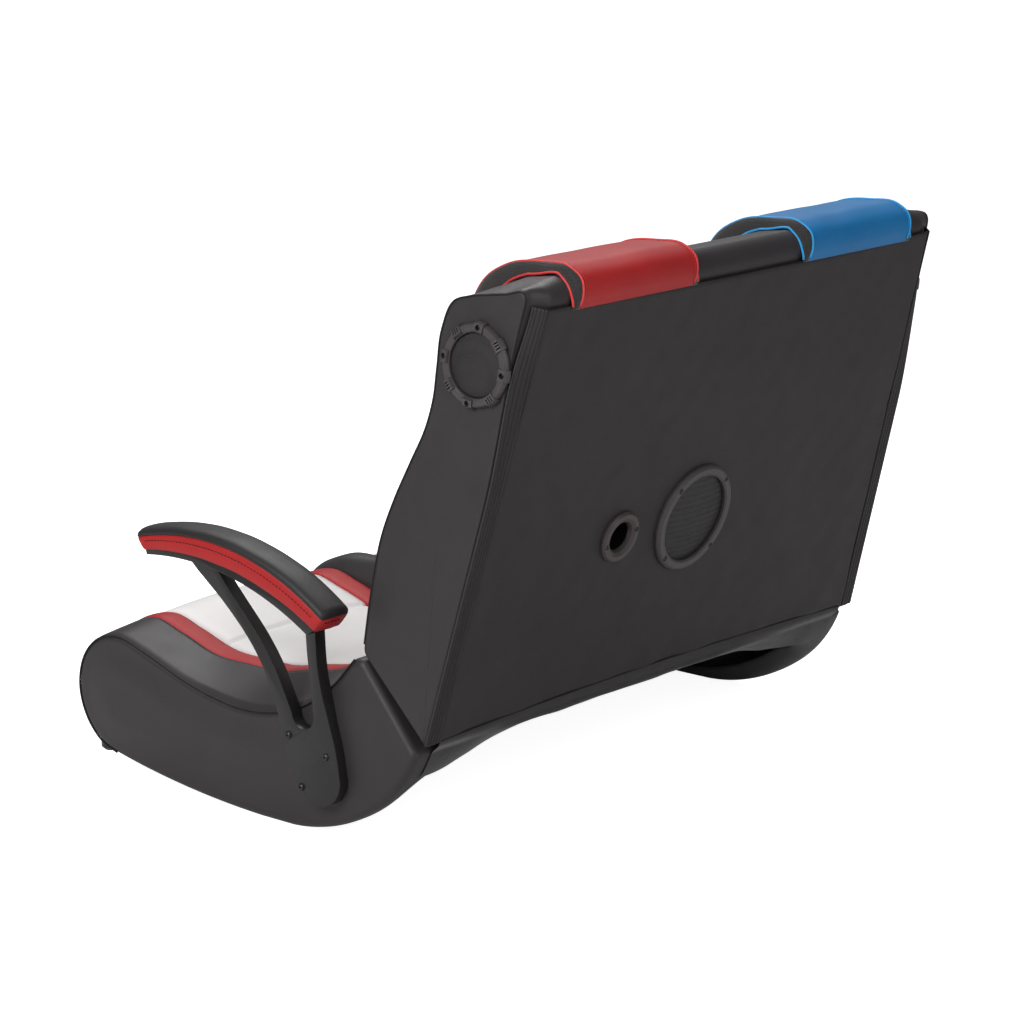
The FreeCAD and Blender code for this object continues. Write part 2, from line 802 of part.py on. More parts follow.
def on_back_split(shape):
    """Moves a shape drawn with y down the split line and z into the backrest."""
    turned = shape.copy()
    turned.rotate(V(0, 0, 0), V(1, 0, 0), back_angle)
    return turned


def back_frame():
    board = slab(loop([(back_board_front, -20.0), (board_rear, -72.0), (board_rear, back_board_top),
                       (back_board_front, back_board_top)]), end_inner, end_inner + board_thickness)
    top = box(-end_inner, end_inner, back_rail_front, back_rail_front + rail_depth,
              back_board_top - rail_height, back_board_top)
    bottom = on_back_split(box(-end_inner, end_inner, rail_start, rail_start + rail_depth,
                               knuckle_radius, knuckle_radius + rail_height))
    wide = end_inner + board_thickness
    panel_board = box(-wide, wide, board_rear, back_depth, rear_board_low, rear_board_top)
    return board, top, bottom, panel_board


board_rear = back_depth - rear_board_thickness
headrest_outer = [(8, 450), (-25, 478), (-33, 530), (-19, 583), (22, 624), (80, 648), (128, 659),
                  (156, 649), (164, 630), (161.5, 612)]
headrest_base = [(10, 452), (3, 475), (1, 520), (4, 560), (38, 593), (82, 612), (122, 629),
                 (146, 627), (158, 618), (160.5, 611.5)]


def headrest_section(x, share):
    """Pad outline at x: share 1 is the full pad and 0 lies on the backrest."""
    points = [(b[0] + share * (o[0] - b[0]), b[1] + share * (o[1] - b[1]))
              for o, b in zip(headrest_outer, headrest_base)]
    inside = (70.0, 560.0)
    return wire([smooth(points), line(points[-1], inside), line(inside, points[0])], x)


def build_headrests(body):
    """Pads wrapped over the top edge, cut to the backrest; returns what the panels leave out."""
    left = headrest_inner_x
    right = headrest_outer_x
    slope = headrest_mesh_width
    middle = (left + right) / 2
    half = (right - left) / 2 - slope
    shares = [(-1.0, 0.94), (-0.6, 0.99), (0.0, 1.0), (0.6, 0.99), (1.0, 0.94)]
    pad = Part.makeLoft([headrest_section(middle + s * half, share) for s, share in shares], True, False)
    pad = without(pad, *body)
    ends = []
    for low, high, x0, x1 in ((0.12, 0.94, left, left + slope), (0.94, 0.12, right - slope, right)):
        gusset = Part.makeLoft([headrest_section(x0, low), headrest_section(x1, high)], True, True)
        ends.append(without(gusset, *body))
    keep_back_pair("headrest", pad)
    keep("headrest_mesh", group([leaned(e) for e in ends] + [mirrored(leaned(e)) for e in ends]))
    return [pad, mirrored(pad)] + ends + [mirrored(e) for e in ends]


def build_back():
    board, top_rail, bottom_rail, rear_board = back_frame()
    inner, white, outer, end = panel_edges()
    crease_rod = rod(crease_clear, 2 * seat_width, V(-seat_width, 0, 0))
    recess = [on_back_split(box(x - 1.6 * knuckle_length, x + 1.6 * knuckle_length, 0,
                                leaf_length + 1, -2, knuckle_radius)) for x in (-hinge_x, hinge_x)]
    pocket = on_side(rod(speaker_pocket, speaker_cone_depth + 1.5, V(0, 0, -speaker_cone_depth - 1),
                         V(0, 0, 1)), speaker_back, speaker_up)
    side = tapered(slab(back_outline(), end_inner, seat_half + 50))
    side = without(side, board, rear_board, crease_rod, pocket)
    keep_back_pair("back_side", side)
    keep("back_boards", group([leaned(board), mirrored(leaned(board))]))
    keep_back("back_top_rail", top_rail)
    keep_back("back_bottom_rail", bottom_rail)

    full = slab(back_outline(), -end_inner, end_inner)
    core = slab(back_outline(back_panel_thickness + gap), -end_inner, end_inner)
    hollow = slab(back_outline(back_panel_thickness + back_foam), -end_inner, end_inner)
    hollow = hollow.common(box(-end_inner, end_inner, -50, board_rear, cavity_low, cavity_high))
    core = without(core, hollow, top_rail, bottom_rail, rear_board, crease_rod, *recess)
    keep_back("back_core", core)

    cover_room = box(-seat_width, seat_width, 0, back_depth + cover_thickness + 1.0, 0, cover_top + gap)
    pads = build_headrests([full, cover_room])
    front = (back_front(), front_way, top_leave)
    grooves = [groove(*front, None, z, panel_rise) for z in back_channels]
    whites = without(panel(*front, white, outer, panel_rise, back_panel_thickness), *pads, *grooves)
    keep_back_pair("back_white", whites)
    stripes = [panel(*front, inner, white, stripe_rise, back_panel_thickness),
               panel(*front, outer, end, stripe_rise, back_panel_thickness)]
    keep_pair("back_stripes", group([leaned(without(s, *pads)) for s in stripes]))
    keep_back("back_divider", without(panel(*front, -inner, inner, stripe_rise, back_panel_thickness), *pads))

    build_bass(rear_board)
    band = box(-seat_width, seat_width, back_depth, back_depth + strip_thickness,
               cover_bottom - strip_tail, cover_top + 2)
    keep_back("edge_strips", tapered(band).cut(tapered(band, strip_width)))
    build_flap()


def build_bass(rear_board):
    """Subwoofer, its box and its port, all carried by the rear board."""
    half = sub_radius + box_margin
    right = port_x + port_radius + box_margin
    outer = box(-half, right, board_rear - box_depth, board_rear, sub_up - half, sub_up + half)
    inner = box(-half + box_wall, right - box_wall, board_rear - box_depth + box_wall, board_rear,
                sub_up - half + box_wall, sub_up + half - box_wall)
    keep_back("subwoofer_box", outer.cut(inner))
    face = back_depth + cover_thickness
    seat = sub_mouth + 3.0
    ring = revolved([(sub_mouth, sub_mesh + gap), (seat, sub_mesh + gap), (seat, 0), (sub_radius, 0),
                     (sub_radius, sub_height * 0.45), (sub_radius - 1.5, sub_height * 0.75),
                     (sub_radius - 5, sub_height), (sub_mouth + 3, sub_height),
                     (sub_mouth, sub_height - 2)])
    basket = revolved([(0, -sub_cone_depth), (32, -sub_cone_depth), (32, -30), (sub_hole - 1, -14),
                       (sub_hole - 1, -cover_thickness), (seat - gap, -cover_thickness), (seat - gap, -gap),
                       (sub_hole - 2, -gap), (26, -18), (18, -12), (0, -9)])
    mesh = pierced_disc(seat - gap, sub_mesh, sub_mouth - 6, 22, 1.6)
    tube_outer = port_bore + port_wall
    port = revolved([(port_bore, -port_length), (tube_outer, -port_length), (tube_outer, 0), (port_radius, 0),
                     (port_radius, port_height * 0.5), (port_radius - 3, port_height),
                     (port_bore + 9, port_height), (port_bore + 3, port_height * 0.6), (port_bore, -2)])
    ring_spots = [polar(sub_radius - 8, 45 + 90 * k) for k in range(4)]
    port_spots = [polar(port_radius - 8, 75 + 180 * k) for k in range(2)]
    small = screw(screw_radius - 1, 12.0, button_head_radius, button_head_height, 1.4)
    keep_back("subwoofer_ring", on_rear(drilled(ring, ring_spots, sub_height), 0, sub_up, face))
    keep_back("subwoofer_driver", on_rear(basket, 0, sub_up, face))
    keep_back("subwoofer_grille", on_rear(mesh, 0, sub_up, face))
    keep_back("port_tube", on_rear(drilled(port, port_spots, port_height), port_x, port_up, face))
    screws = [on_rear(moved(small, x, y, sub_height - button_head_height), 0, sub_up, face)
              for x, y in ring_spots]
    port_screws = [on_rear(moved(small, x, y, port_height - button_head_height), port_x, port_up, face)
                   for x, y in port_spots]
    keep("bass_screws", group([leaned(s) for s in screws + port_screws]))
    cover = box(-seat_width, seat_width, back_depth, face, cover_bottom, cover_top)
    cover = tapered(cover, strip_width + gap)
    hole = on_rear(rod(seat, 60, V(0, 0, -20), V(0, 0, 1)), 0, sub_up)
    throat = on_rear(rod(tube_outer + gap, 60, V(0, 0, -20), V(0, 0, 1)), port_x, port_up)
    small_hole = on_rear(rod(sub_hole, 60, V(0, 0, -20), V(0, 0, 1)), 0, sub_up)
    drills = [on_rear(rod(screw_radius - 1 + gap, 40, V(x, y, -20), V(0, 0, 1)), 0, sub_up)
              for x, y in ring_spots]
    drills += [on_rear(rod(screw_radius - 1 + gap, 40, V(x, y, -20), V(0, 0, 1)), port_x, port_up)
               for x, y in port_spots]
    keep_back("rear_cover", without(cover, hole, throat, *drills))
    keep_back("rear_board", without(rear_board, small_hole, throat, *drills))


def polar(radius, degrees):
    """Point on a circle, measured from up towards the first axis."""
    return radius * math.sin(math.radians(degrees)), radius * math.cos(math.radians(degrees))


def moved(shape, x, y, z):
    placed = shape.copy()
    placed.translate(V(x, y, z))
    return placed


def drilled(shape, spots, height):
    """Screw holes with a recess for each head."""
    for x, y in spots:
        shape = shape.cut(rod(screw_radius - 1 + gap, 4 * height, V(x, y, -2 * height), V(0, 0, 1)))
        recess = rod(button_head_radius + gap, height, V(x, y, height - button_head_height), V(0, 0, 1))
        shape = shape.cut(recess)
    return shape


def pierced_disc(radius, thickness, reach, pitch, hole):
    """Grille disc with a square pattern of holes."""
    disc = rod(radius, thickness, V(0, 0, 0), V(0, 0, 1))
    count = int(reach // pitch)
    holes = []
    for i in range(-count, count + 1):
        for j in range(-count, count + 1):
            if math.hypot(i, j) * pitch <= reach:
                holes.append(rod(hole, 2 * thickness, V(i * pitch, j * pitch, -thickness / 2), V(0, 0, 1)))
    return disc.cut(group(holes))


def speaker_ring():
    """Moulded ring with alternate screw blocks and vented blocks."""
    lip = speaker_mouth
    edge = speaker_radius - speaker_step
    ring = revolved([(lip, 0), (edge, 0), (edge, speaker_height * 0.5), (edge - 3, speaker_height),
                     (lip + 2, speaker_height), (lip, speaker_height - 2)])
    shell = revolved([(lip + 1, 0), (speaker_radius, 0), (speaker_radius, speaker_height * 0.55),
                      (speaker_radius - 4, speaker_height + speaker_block * 0.5),
                      (lip + 3, speaker_height + speaker_block), (lip + 1, speaker_height)])
    spots = []
    for k in range(8):
        turn = speaker_turn + 45 * k
        block = box(-speaker_block_width / 2, speaker_block_width / 2, 0, 2 * speaker_radius, 0, 40)
        block.rotate(V(0, 0, 0), V(0, 0, 1), -turn)
        ring = ring.fuse(shell.common(block))
        if k % 2 == 0:
            spots.append(polar((lip + speaker_radius) / 2, turn))
        for share in (-1, 0, 1) if k % 2 else ():
            slot = box(share * 4.5 - 1.1, share * 4.5 + 1.1, lip + 5, speaker_radius - 4,
                       speaker_height - 2, 40)
            slot.rotate(V(0, 0, 0), V(0, 0, 1), -turn)
            ring = ring.cut(slot)
    top = speaker_height + speaker_block * 0.5
    for x, y in spots:
        ring = ring.cut(rod(screw_radius - 1 + gap, 60, V(x, y, -20), V(0, 0, 1)))
        ring = ring.cut(rod(button_head_radius + gap, 20, V(x, y, top - 1.5), V(0, 0, 1)))
    return ring.removeSplitter(), spots, top - 1.5


def build_speakers():
    ring, spots, head = speaker_ring()
    lip = speaker_mouth - gap
    grille = revolved([(0, speaker_dome), (lip * 0.5, speaker_dome - 1.5), (lip - 1.5, 1.6 * speaker_mesh),
                       (lip, speaker_mesh), (lip, 0), (lip - 3, 0), (lip * 0.5, speaker_dome - 1.5 - speaker_mesh),
                       (0, speaker_dome - speaker_mesh)])
    depth = speaker_cone_depth
    driver = revolved([(0, -depth), (22, -depth), (22, -20), (lip - 2, -8), (lip, -8), (lip, -gap),
                       (lip - 4, -gap), (14, -14), (0, -12)])
    one = screw(screw_radius - 1, 16.0, button_head_radius, button_head_height, 1.4)
    screws = [on_side(moved(one, x, y, head), speaker_back, speaker_up) for x, y in spots]
    keep_back_pair("speaker_ring", on_side(ring, speaker_back, speaker_up))
    grille = leaned(on_side(grille, speaker_back, speaker_up))
    driver = leaned(on_side(driver, speaker_back, speaker_up))
    screws = [leaned(s) for s in screws]
    keep("speaker_grilles", group([grille, mirrored(grille)]))
    keep("speaker_drivers", group([driver, mirrored(driver)]))
    keep("speaker_screws", group(screws + [mirrored(s) for s in screws]))
    side = made["back_side_left"]
    made["back_side_left"] = without(side, *[leaned(on_side(moved(rod(screw_radius - 1 + gap, 22,
                                                                     V(0, 0, -20), V(0, 0, 1)), x, y, 0),
                                                            speaker_back, speaker_up)) for x, y in spots])
    made["back_side_right"] = mirrored(made["back_side_left"])


def flap_section(x, arch):
    """Cloth profile at x: arch 0 hugs the rocker's heel and arch 1 turns forward under the seat."""
    start = world(back_depth + cover_thickness - cloth_thickness, cover_bottom - gap)
    corner = world(back_depth + 1.5, -back_tail - 1.5)
    side = (-heel_way[1], heel_way[0])
    chord = (split_end[0] - heel[0], split_end[1] - heel[1])
    radius = (chord[0] ** 2 + chord[1] ** 2) / (2 * (chord[0] * side[0] + chord[1] * side[1]))
    centre = (heel[0] + side[0] * radius, heel[1] + side[1] * radius)
    end_angle = math.degrees(math.atan2(split_end[1] - centre[1], split_end[0] - centre[0]))
    hug = [(centre[0] + (radius + flap_clear) * math.cos(math.radians(end_angle - a)),
            centre[1] + (radius + flap_clear) * math.sin(math.radians(end_angle - a))) for a in (1, 6, 11)]
    lifted = [(corner[0] - 8, corner[1] - 6), (corner[0] - 26, corner[1] - 7), (corner[0] - 42, corner[1] - 4)]
    run = [(h[0] + arch * (m[0] - h[0]), h[1] + arch * (m[1] - h[1])) for h, m in zip(hug, lifted)]
    points = [start, corner] + run
    leave = unit(corner[0] - start[0], corner[1] - start[1])
    arrive = unit(run[-1][0] - run[-2][0], run[-1][1] - run[-2][1])
    outer = shifted(points, leave, arrive, cloth_thickness)
    return wire([spline(points, leave, arrive), line(points[-1], outer[-1]),
                 spline(outer, leave, arrive), line(outer[0], points[0])], x)


def world(back, up):
    """A backrest place (back, up) about the hinge as (y, z) in the leaned chair."""
    return (hinge_y + back * math.cos(lean) + up * math.sin(lean),
            hinge_z - back * math.sin(lean) + up * math.cos(lean))


def build_flap():
    shares = (-1.0, -0.88, -0.5, 0.0, 0.5, 0.88, 1.0)
    arches = (0.0, 0.0, 0.7, 1.0, 0.7, 0.0, 0.0)
    sections = [flap_section(s * flap_half, a) for s, a in zip(shares, arches)]
    keep("back_flap", Part.makeLoft(sections, True, False))


build_seat()
build_arms()
build_hinges()
build_controls()
build_back()
build_speakers()

whole = group(list(made.values())).optimalBoundingBox(False)
shift = V(-(whole.XMin + whole.XMax) / 2, -(whole.YMin + whole.YMax) / 2, -whole.ZMin)
print("shift", shift, "size", whole.XLength, whole.YLength, whole.ZLength)
print("fold axis", hinge_y + shift.y, hinge_z + shift.z)
for name, shape in made.items():
    shape.translate(shift)
    shape.exportStep("parts/" + name + ".step")
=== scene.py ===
import bpy
import bmesh
import json
import math
import numpy as np
from mathutils import Matrix, Vector

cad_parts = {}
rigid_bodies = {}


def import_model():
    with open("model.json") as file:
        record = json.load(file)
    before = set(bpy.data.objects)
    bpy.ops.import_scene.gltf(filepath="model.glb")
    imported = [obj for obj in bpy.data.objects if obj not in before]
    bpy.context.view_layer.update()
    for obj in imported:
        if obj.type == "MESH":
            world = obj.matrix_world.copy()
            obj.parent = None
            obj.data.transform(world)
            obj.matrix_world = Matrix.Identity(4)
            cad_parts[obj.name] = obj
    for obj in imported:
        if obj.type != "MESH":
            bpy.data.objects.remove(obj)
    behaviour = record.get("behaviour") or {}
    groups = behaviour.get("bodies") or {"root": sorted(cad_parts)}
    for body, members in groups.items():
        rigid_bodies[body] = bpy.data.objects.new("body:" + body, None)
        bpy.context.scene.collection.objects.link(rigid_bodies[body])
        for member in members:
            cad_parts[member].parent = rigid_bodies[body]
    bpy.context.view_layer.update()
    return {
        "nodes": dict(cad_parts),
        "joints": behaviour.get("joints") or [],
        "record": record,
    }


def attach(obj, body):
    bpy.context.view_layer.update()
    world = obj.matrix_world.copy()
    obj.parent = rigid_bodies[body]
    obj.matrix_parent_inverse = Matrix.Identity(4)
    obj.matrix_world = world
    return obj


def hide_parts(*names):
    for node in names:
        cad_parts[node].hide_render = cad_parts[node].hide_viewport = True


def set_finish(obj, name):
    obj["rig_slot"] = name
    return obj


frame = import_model()
print("frame loaded:", len(frame["nodes"]), "nodes")

# Everything below is in millimetres, about the chair's own frame, and becomes metres in the meshes.
mm = 0.001
fold = next(j for j in frame["joints"] if j["name"] == "backrest_fold")
hingeY, hingeZ = (1000 * c for c in fold["pos_m"][1:])
seatShape = {"half": 550.0, "inner": 460.0, "frontRadius": 1850.0, "rearRadius": 342.0, "toe": -372.0,
             "heel": 205.0, "crown": 12.0, "lift": 40.0, "flat": 0.6, "hinge": 166.0,
             "splitRun": 146.0, "splitDrop": 104.0, "coreSplit": 141.0}
backShape = {"half": 542.0, "taper": 0.052, "tilt": 15.2, "depth": 157.0, "tail": 85.0,
             "front": [(-3, 13), (-13, 100), (-18, 190), (-11, 250), (2, 315), (14, 375), (15, 420),
                       (8, 467), (0, 525), (9, 572), (42, 594)]}
lean = math.radians(backShape["tilt"])
shiftY = hingeY - seatShape["hinge"]


# A smooth curve through points: cubic pieces with slopes from the neighbours, then equal steps along it.
def smoothPath(points, count):
    p = np.asarray(points, float)
    t = lengths(p)
    m = np.gradient(p, t, axis=0)
    fine = np.linspace(0, t[-1], 40 * len(p))
    k = np.clip(np.searchsorted(t, fine, side="right") - 1, 0, len(t) - 2)
    h = (t[k + 1] - t[k])[:, None]
    s = ((fine - t[k])[:, None]) / h
    q = ((2 * s**3 - 3 * s**2 + 1) * p[k] + (s**3 - 2 * s**2 + s) * h * m[k]
         + (3 * s**2 - 2 * s**3) * p[k + 1] + (s**3 - s**2) * h * m[k + 1])
    return evenly(q, count)


def unit(t):
    return np.clip(t, 0, 1)


# Length run so far at each point of a path.
def lengths(p):
    return np.concatenate([[0], np.cumsum(np.linalg.norm(np.diff(p, axis=0), axis=1))])


# Points at equal steps along a run of straight pieces.
def evenly(p, count):
    p = np.asarray(p, float)
    t = lengths(p)
    at = np.linspace(0, t[-1], count)
    return np.stack([np.interp(at, t, p[:, i]) for i in range(p.shape[1])], axis=1)


# Left-hand normals of a run of (a, b) points; closed runs wrap round.
def normals2(p, closed=False):
    if closed:
        d = np.roll(p, -1, axis=0) - np.roll(p, 1, axis=0)
    else:
        d = np.gradient(p, axis=0)
    d /= np.linalg.norm(d, axis=1)[:, None] + 1e-12
    return np.stack([-d[:, 1], d[:, 0]], axis=1)


# Normals of an open path, turned so that the given one grows along the axis.
def outwards(p, at, axis=1):
    n = normals2(p)
    return n if n[at, axis] > 0 else -n


# The seat's top line from toe to crease: middle 1 is the seat's middle and 0 its side edge.
def seatTop(middle, count=150):
    c = seatShape["crown"] * middle
    lift = seatShape["lift"] * middle
    spots = [(seatShape["toe"], rocker(seatShape["toe"])), (-405, 49), (-439, 82), (-457, 135),
             (-443, 192 + c / 3), (-411, 224 + 0.8 * c), (-367, 236 + c), (-305, 222 + c),
              (-226, 195 + 0.4 * lift),
             (-151, 177 + 0.8 * lift), (-88, 170 + lift), (-26, 175 + 1.2 * lift), (42, 197 + lift),
             (107, 241 + 0.65 * lift), (155, 293)]
    return smoothPath(spots, count)


# Height of the rocker: two arcs that meet on the floor.
def rocker(y):
    r = np.where(np.asarray(y) < 0, seatShape["frontRadius"], seatShape["rearRadius"])
    return np.maximum(r - np.sqrt(r * r - np.asarray(y, float) ** 2) - seatShape["flat"], 0)


# Place on the cut between seat and backrest, from the hinge to its rear end.
def splitPoint(share):
    run, drop = seatShape["splitRun"], seatShape["splitDrop"]
    end = np.array([math.cos(lean) * run - math.sin(lean) * drop,
                    -math.sin(lean) * run - math.cos(lean) * drop])
    return np.array([seatShape["hinge"], hingeZ]) + share * end


# Arc that leaves the rocker at the heel and ends at the split, pushed out by a distance.
def heelArc(shares, out=0.0):
    heel = np.array([seatShape["heel"], float(rocker(seatShape["heel"]))])
    way = np.array([seatShape["rearRadius"] - heel[1], heel[0]])
    way /= np.linalg.norm(way)
    side = np.array([-way[1], way[0]])
    chord = splitPoint(1.0) - heel
    radius = chord @ chord / (2 * chord @ side)
    centre = heel + side * radius
    a0 = math.atan2(*(heel - centre)[::-1])
    a1 = math.atan2(*(splitPoint(1.0) - centre)[::-1])
    a = a0 + np.asarray(shares) * (a1 - a0)
    return centre + (radius + out) * np.stack([np.cos(a), np.sin(a)], axis=1)


# Closed outline of a rocker end, toe to crease, down the split, round the heel and along the floor.
def seatRing(middle, count=300):
    bottom = np.linspace(seatShape["heel"], seatShape["toe"], 60)[1:-1]
    run = np.vstack([seatTop(middle, 200), splitPoint(0.07), splitPoint(0.99), heelArc(np.linspace(1, 0, 14)),
                     np.stack([bottom, rocker(bottom)], axis=1)])
    run = np.vstack([run, run[:1]])
    return evenly(run, count + 1)[:-1]


# Backrest place (x, back, up) to chair place.
def leaned(p):
    p = np.asarray(p, float)
    y = seatShape["hinge"] + p[..., 1] * math.cos(lean) + p[..., 2] * math.sin(lean)
    z = hingeZ - p[..., 1] * math.sin(lean) + p[..., 2] * math.cos(lean)
    return np.stack([p[..., 0], y, z], axis=-1)


def halfAt(up):
    return backShape["half"] - backShape["taper"] * up


# New object in the scene from a mesh, lamp or camera.
def placed(name, data):
    piece = bpy.data.objects.new(name, data)
    bpy.context.collection.objects.link(piece)
    return piece


def smoothed(piece):
    piece.data.polygons.foreach_set("use_smooth", [True] * len(piece.data.polygons))
    return piece


# Mesh from a grid of places; its columns can close, and keepFace picks faces by their centres.
def gridPiece(name, p, closeCols=False, keepFace=None):
    rows, cols = p.shape[:2]
    i, j = np.meshgrid(np.arange(rows - 1), np.arange(cols if closeCols else cols - 1), indexing="ij")
    i, j = i.ravel(), j.ravel()
    i2, j2 = i + 1, (j + 1) % cols
    faces = np.stack([i * cols + j, i2 * cols + j, i2 * cols + j2, i * cols + j2], axis=1)
    verts = p.reshape(-1, 3)
    if keepFace is not None:
        faces = faces[keepFace(verts[faces].mean(axis=1))]
    steps = [np.linalg.norm(np.diff(p, axis=a), axis=2).mean(axis=1 - a) for a in (0, 1)]
    u = np.concatenate([[0], np.cumsum(steps[0])])
    v = np.concatenate([[0], np.cumsum(steps[1])])
    uu = np.stack([np.repeat(u, cols), np.tile(v, rows)], axis=1) * mm
    return meshPiece(name, verts, faces, uu)


def meshPiece(name, verts, faces, uv=None):
    mesh = bpy.data.meshes.new(name)
    place = np.array(verts, float)
    place[:, 1] += shiftY
    mesh.from_pydata((place * mm).tolist(), [], np.asarray(faces).tolist())
    if uv is not None:
        layer = mesh.uv_layers.new(name="cloth")
        layer.data.foreach_set("uv", uv[np.asarray(faces).ravel()].astype(np.float32).ravel())
    return smoothed(placed(name, mesh))


# Fills every open edge loop with one face and turns all normals outwards.
def closeHoles(piece):
    bm = bmesh.new()
    bm.from_mesh(piece.data)
    bmesh.ops.remove_doubles(bm, verts=bm.verts, dist=1e-6)
    bmesh.ops.holes_fill(bm, edges=[e for e in bm.edges if e.is_boundary], sides=0)
    bmesh.ops.recalc_face_normals(bm, faces=bm.faces)
    bm.to_mesh(piece.data)
    bm.free()
    return smoothed(piece)


# Grid piece closed round its columns and at both ends.
def solidPiece(name, p):
    return closeHoles(gridPiece(name, p, closeCols=True))


# Points (a, b) of a section at one x, or at an x for each.
def atX(x, points):
    return np.column_stack([x + np.zeros(len(points)), points])


# Tube of one radius round a path of places.
def tubePiece(name, path, radius, sides=8):
    p = np.asarray(path, float)
    d = np.gradient(p, axis=0)
    d /= np.linalg.norm(d, axis=1)[:, None]
    ref = np.array([1.0, 0, 0]) if abs(d[:, 0]).mean() < 0.7 else np.array([0, 0, 1.0])
    a = np.cross(d, ref)
    a /= np.linalg.norm(a, axis=1)[:, None]
    b = np.cross(d, a)
    t = np.linspace(0, 2 * math.pi, sides, endpoint=False)
    around = np.cos(t)[None, :, None] * a[:, None] + np.sin(t)[None, :, None] * b[:, None]
    return solidPiece(name, p[:, None] + radius * around)


# Short stitches laid along a path, each a six-sided bead pointed at both ends.
def stitchPiece(name, path, length, pitch, radius):
    p = np.asarray(path, float)
    t = lengths(p)
    starts = np.arange(0.3 * pitch, t[-1] - length, pitch)
    stations = np.array([0, 0.2, 0.8, 1.0]) * length
    at = starts[:, None] + stations[None]
    spots = np.stack([np.interp(at, t, p[:, k]) for k in range(3)], axis=-1)
    d = spots[:, -1] - spots[:, 0]
    d /= np.linalg.norm(d, axis=1)[:, None]
    a = np.cross(d, [0.3, 0.2, 0.93])
    a /= np.linalg.norm(a, axis=1)[:, None]
    b = np.cross(d, a)
    turn = np.linspace(0, 2 * math.pi, 6, endpoint=False)
    fat = radius * np.array([0.45, 1, 1, 0.45])
    ring = (np.cos(turn)[:, None] * a[:, None, None] + np.sin(turn)[:, None] * b[:, None, None])
    verts = spots[:, :, None] + fat[None, :, None, None] * ring
    n = len(starts)
    base = (np.arange(n) * 24)[:, None, None, None]
    i = np.arange(3)[None, :, None, None] * 6
    j = np.arange(6)
    quad = np.stack([j, (j + 1) % 6, (j + 1) % 6 + 6, j + 6], axis=1)[None, None]
    faces = (base + i + quad).reshape(-1, 4)
    verts = verts.reshape(-1, 3)
    caps = (np.arange(n) * 24)[:, None]
    ends = np.concatenate([caps + np.array([[0, 3, 2, 1]]), caps + np.array([[0, 5, 4, 3]]),
                           caps + np.array([[18, 19, 20, 21]]), caps + np.array([[18, 21, 22, 23]])])
    return meshPiece(name, verts, np.concatenate([faces, ends]))


# Ring inset: moves every point of a closed ring along its inward normal by a distance.
def inset(ring, distance):
    n = normals2(ring, closed=True)
    area = np.sum(ring[:, 0] * np.roll(ring[:, 1], -1) - np.roll(ring[:, 0], -1) * ring[:, 1])
    return ring + np.sign(area) * n * distance


# Slow waves of a few lengths over two coordinates, about -1 to 1, for wrinkles and unevenness.
def waves(a, b, size, seed, count=7):
    r = np.random.default_rng(seed)
    out = np.zeros(np.broadcast(a, b).shape)
    for k in range(count):
        turn, phase = r.uniform(0, 2 * math.pi, 2)
        step = 2 * math.pi / (size * r.uniform(0.6, 1.6))
        out += np.sin(step * (a * math.cos(turn) + b * math.sin(turn)) + phase)
    return out / math.sqrt(count) / 1.4


# Distance of each place of a side face from its outline, eased from 0 at the edge to 1 at the reach.
def fromEdge(places, ring, reach):
    gap = np.linalg.norm(places[:, None] - ring[None], axis=2).min(axis=1)
    return smoothStep(gap / reach)


# A closed ring with its corners eased, each place moved towards its neighbours.
def eased(ring, rounds):
    for _ in range(rounds):
        ring = 0.5 * ring + 0.25 * (np.roll(ring, 1, axis=0) + np.roll(ring, -1, axis=0))
    return ring


def smoothStep(t):
    t = unit(t)
    return t * t * (3 - 2 * t)


def mirroredX(p):
    return p * np.array([-1.0, 1, 1])


# Places as they are on the left side, mirrored on the right.
def sided(p, sign):
    return p if sign > 0 else mirroredX(p)


def bump(x, width):
    return np.exp(-(x / width) ** 2)


def onBody(piece, body, slot, *nodes, fill=None):
    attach(piece, body)
    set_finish(piece, slot)
    if nodes:
        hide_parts(*nodes)
    return piece


sides = ((1, "left"), (-1, "right"))


# Camera at the photograph's place and angle.
view = {"place": (4.1703, 3.5430, 1.6998), "forward": (-0.7404, -0.6311, -0.2314), "lens": 120.6}
camera = placed("camera", bpy.data.cameras.new("camera"))
camera.location = view["place"]
camera.rotation_euler = Vector(view["forward"]).to_track_quat("-Z", "Y").to_euler()
camera.data.lens = view["lens"]
camera.data.clip_end = 200
bpy.context.scene.camera = camera
print("camera placed")

# End blocks: the side outline swept across, its outer edge rounded, its side face swelling from the edge.
blockLook = {"edge": 11.0, "swell": 4.0, "piping": 1.7, "sink": 2.2, "puff": 1.2, "soleX": 528.0,
             "undercut": 40.0}
ringIn, ringOut = seatRing(1.0), seatRing(0.0)
blockMiddle = np.array([0.0, 118.0])


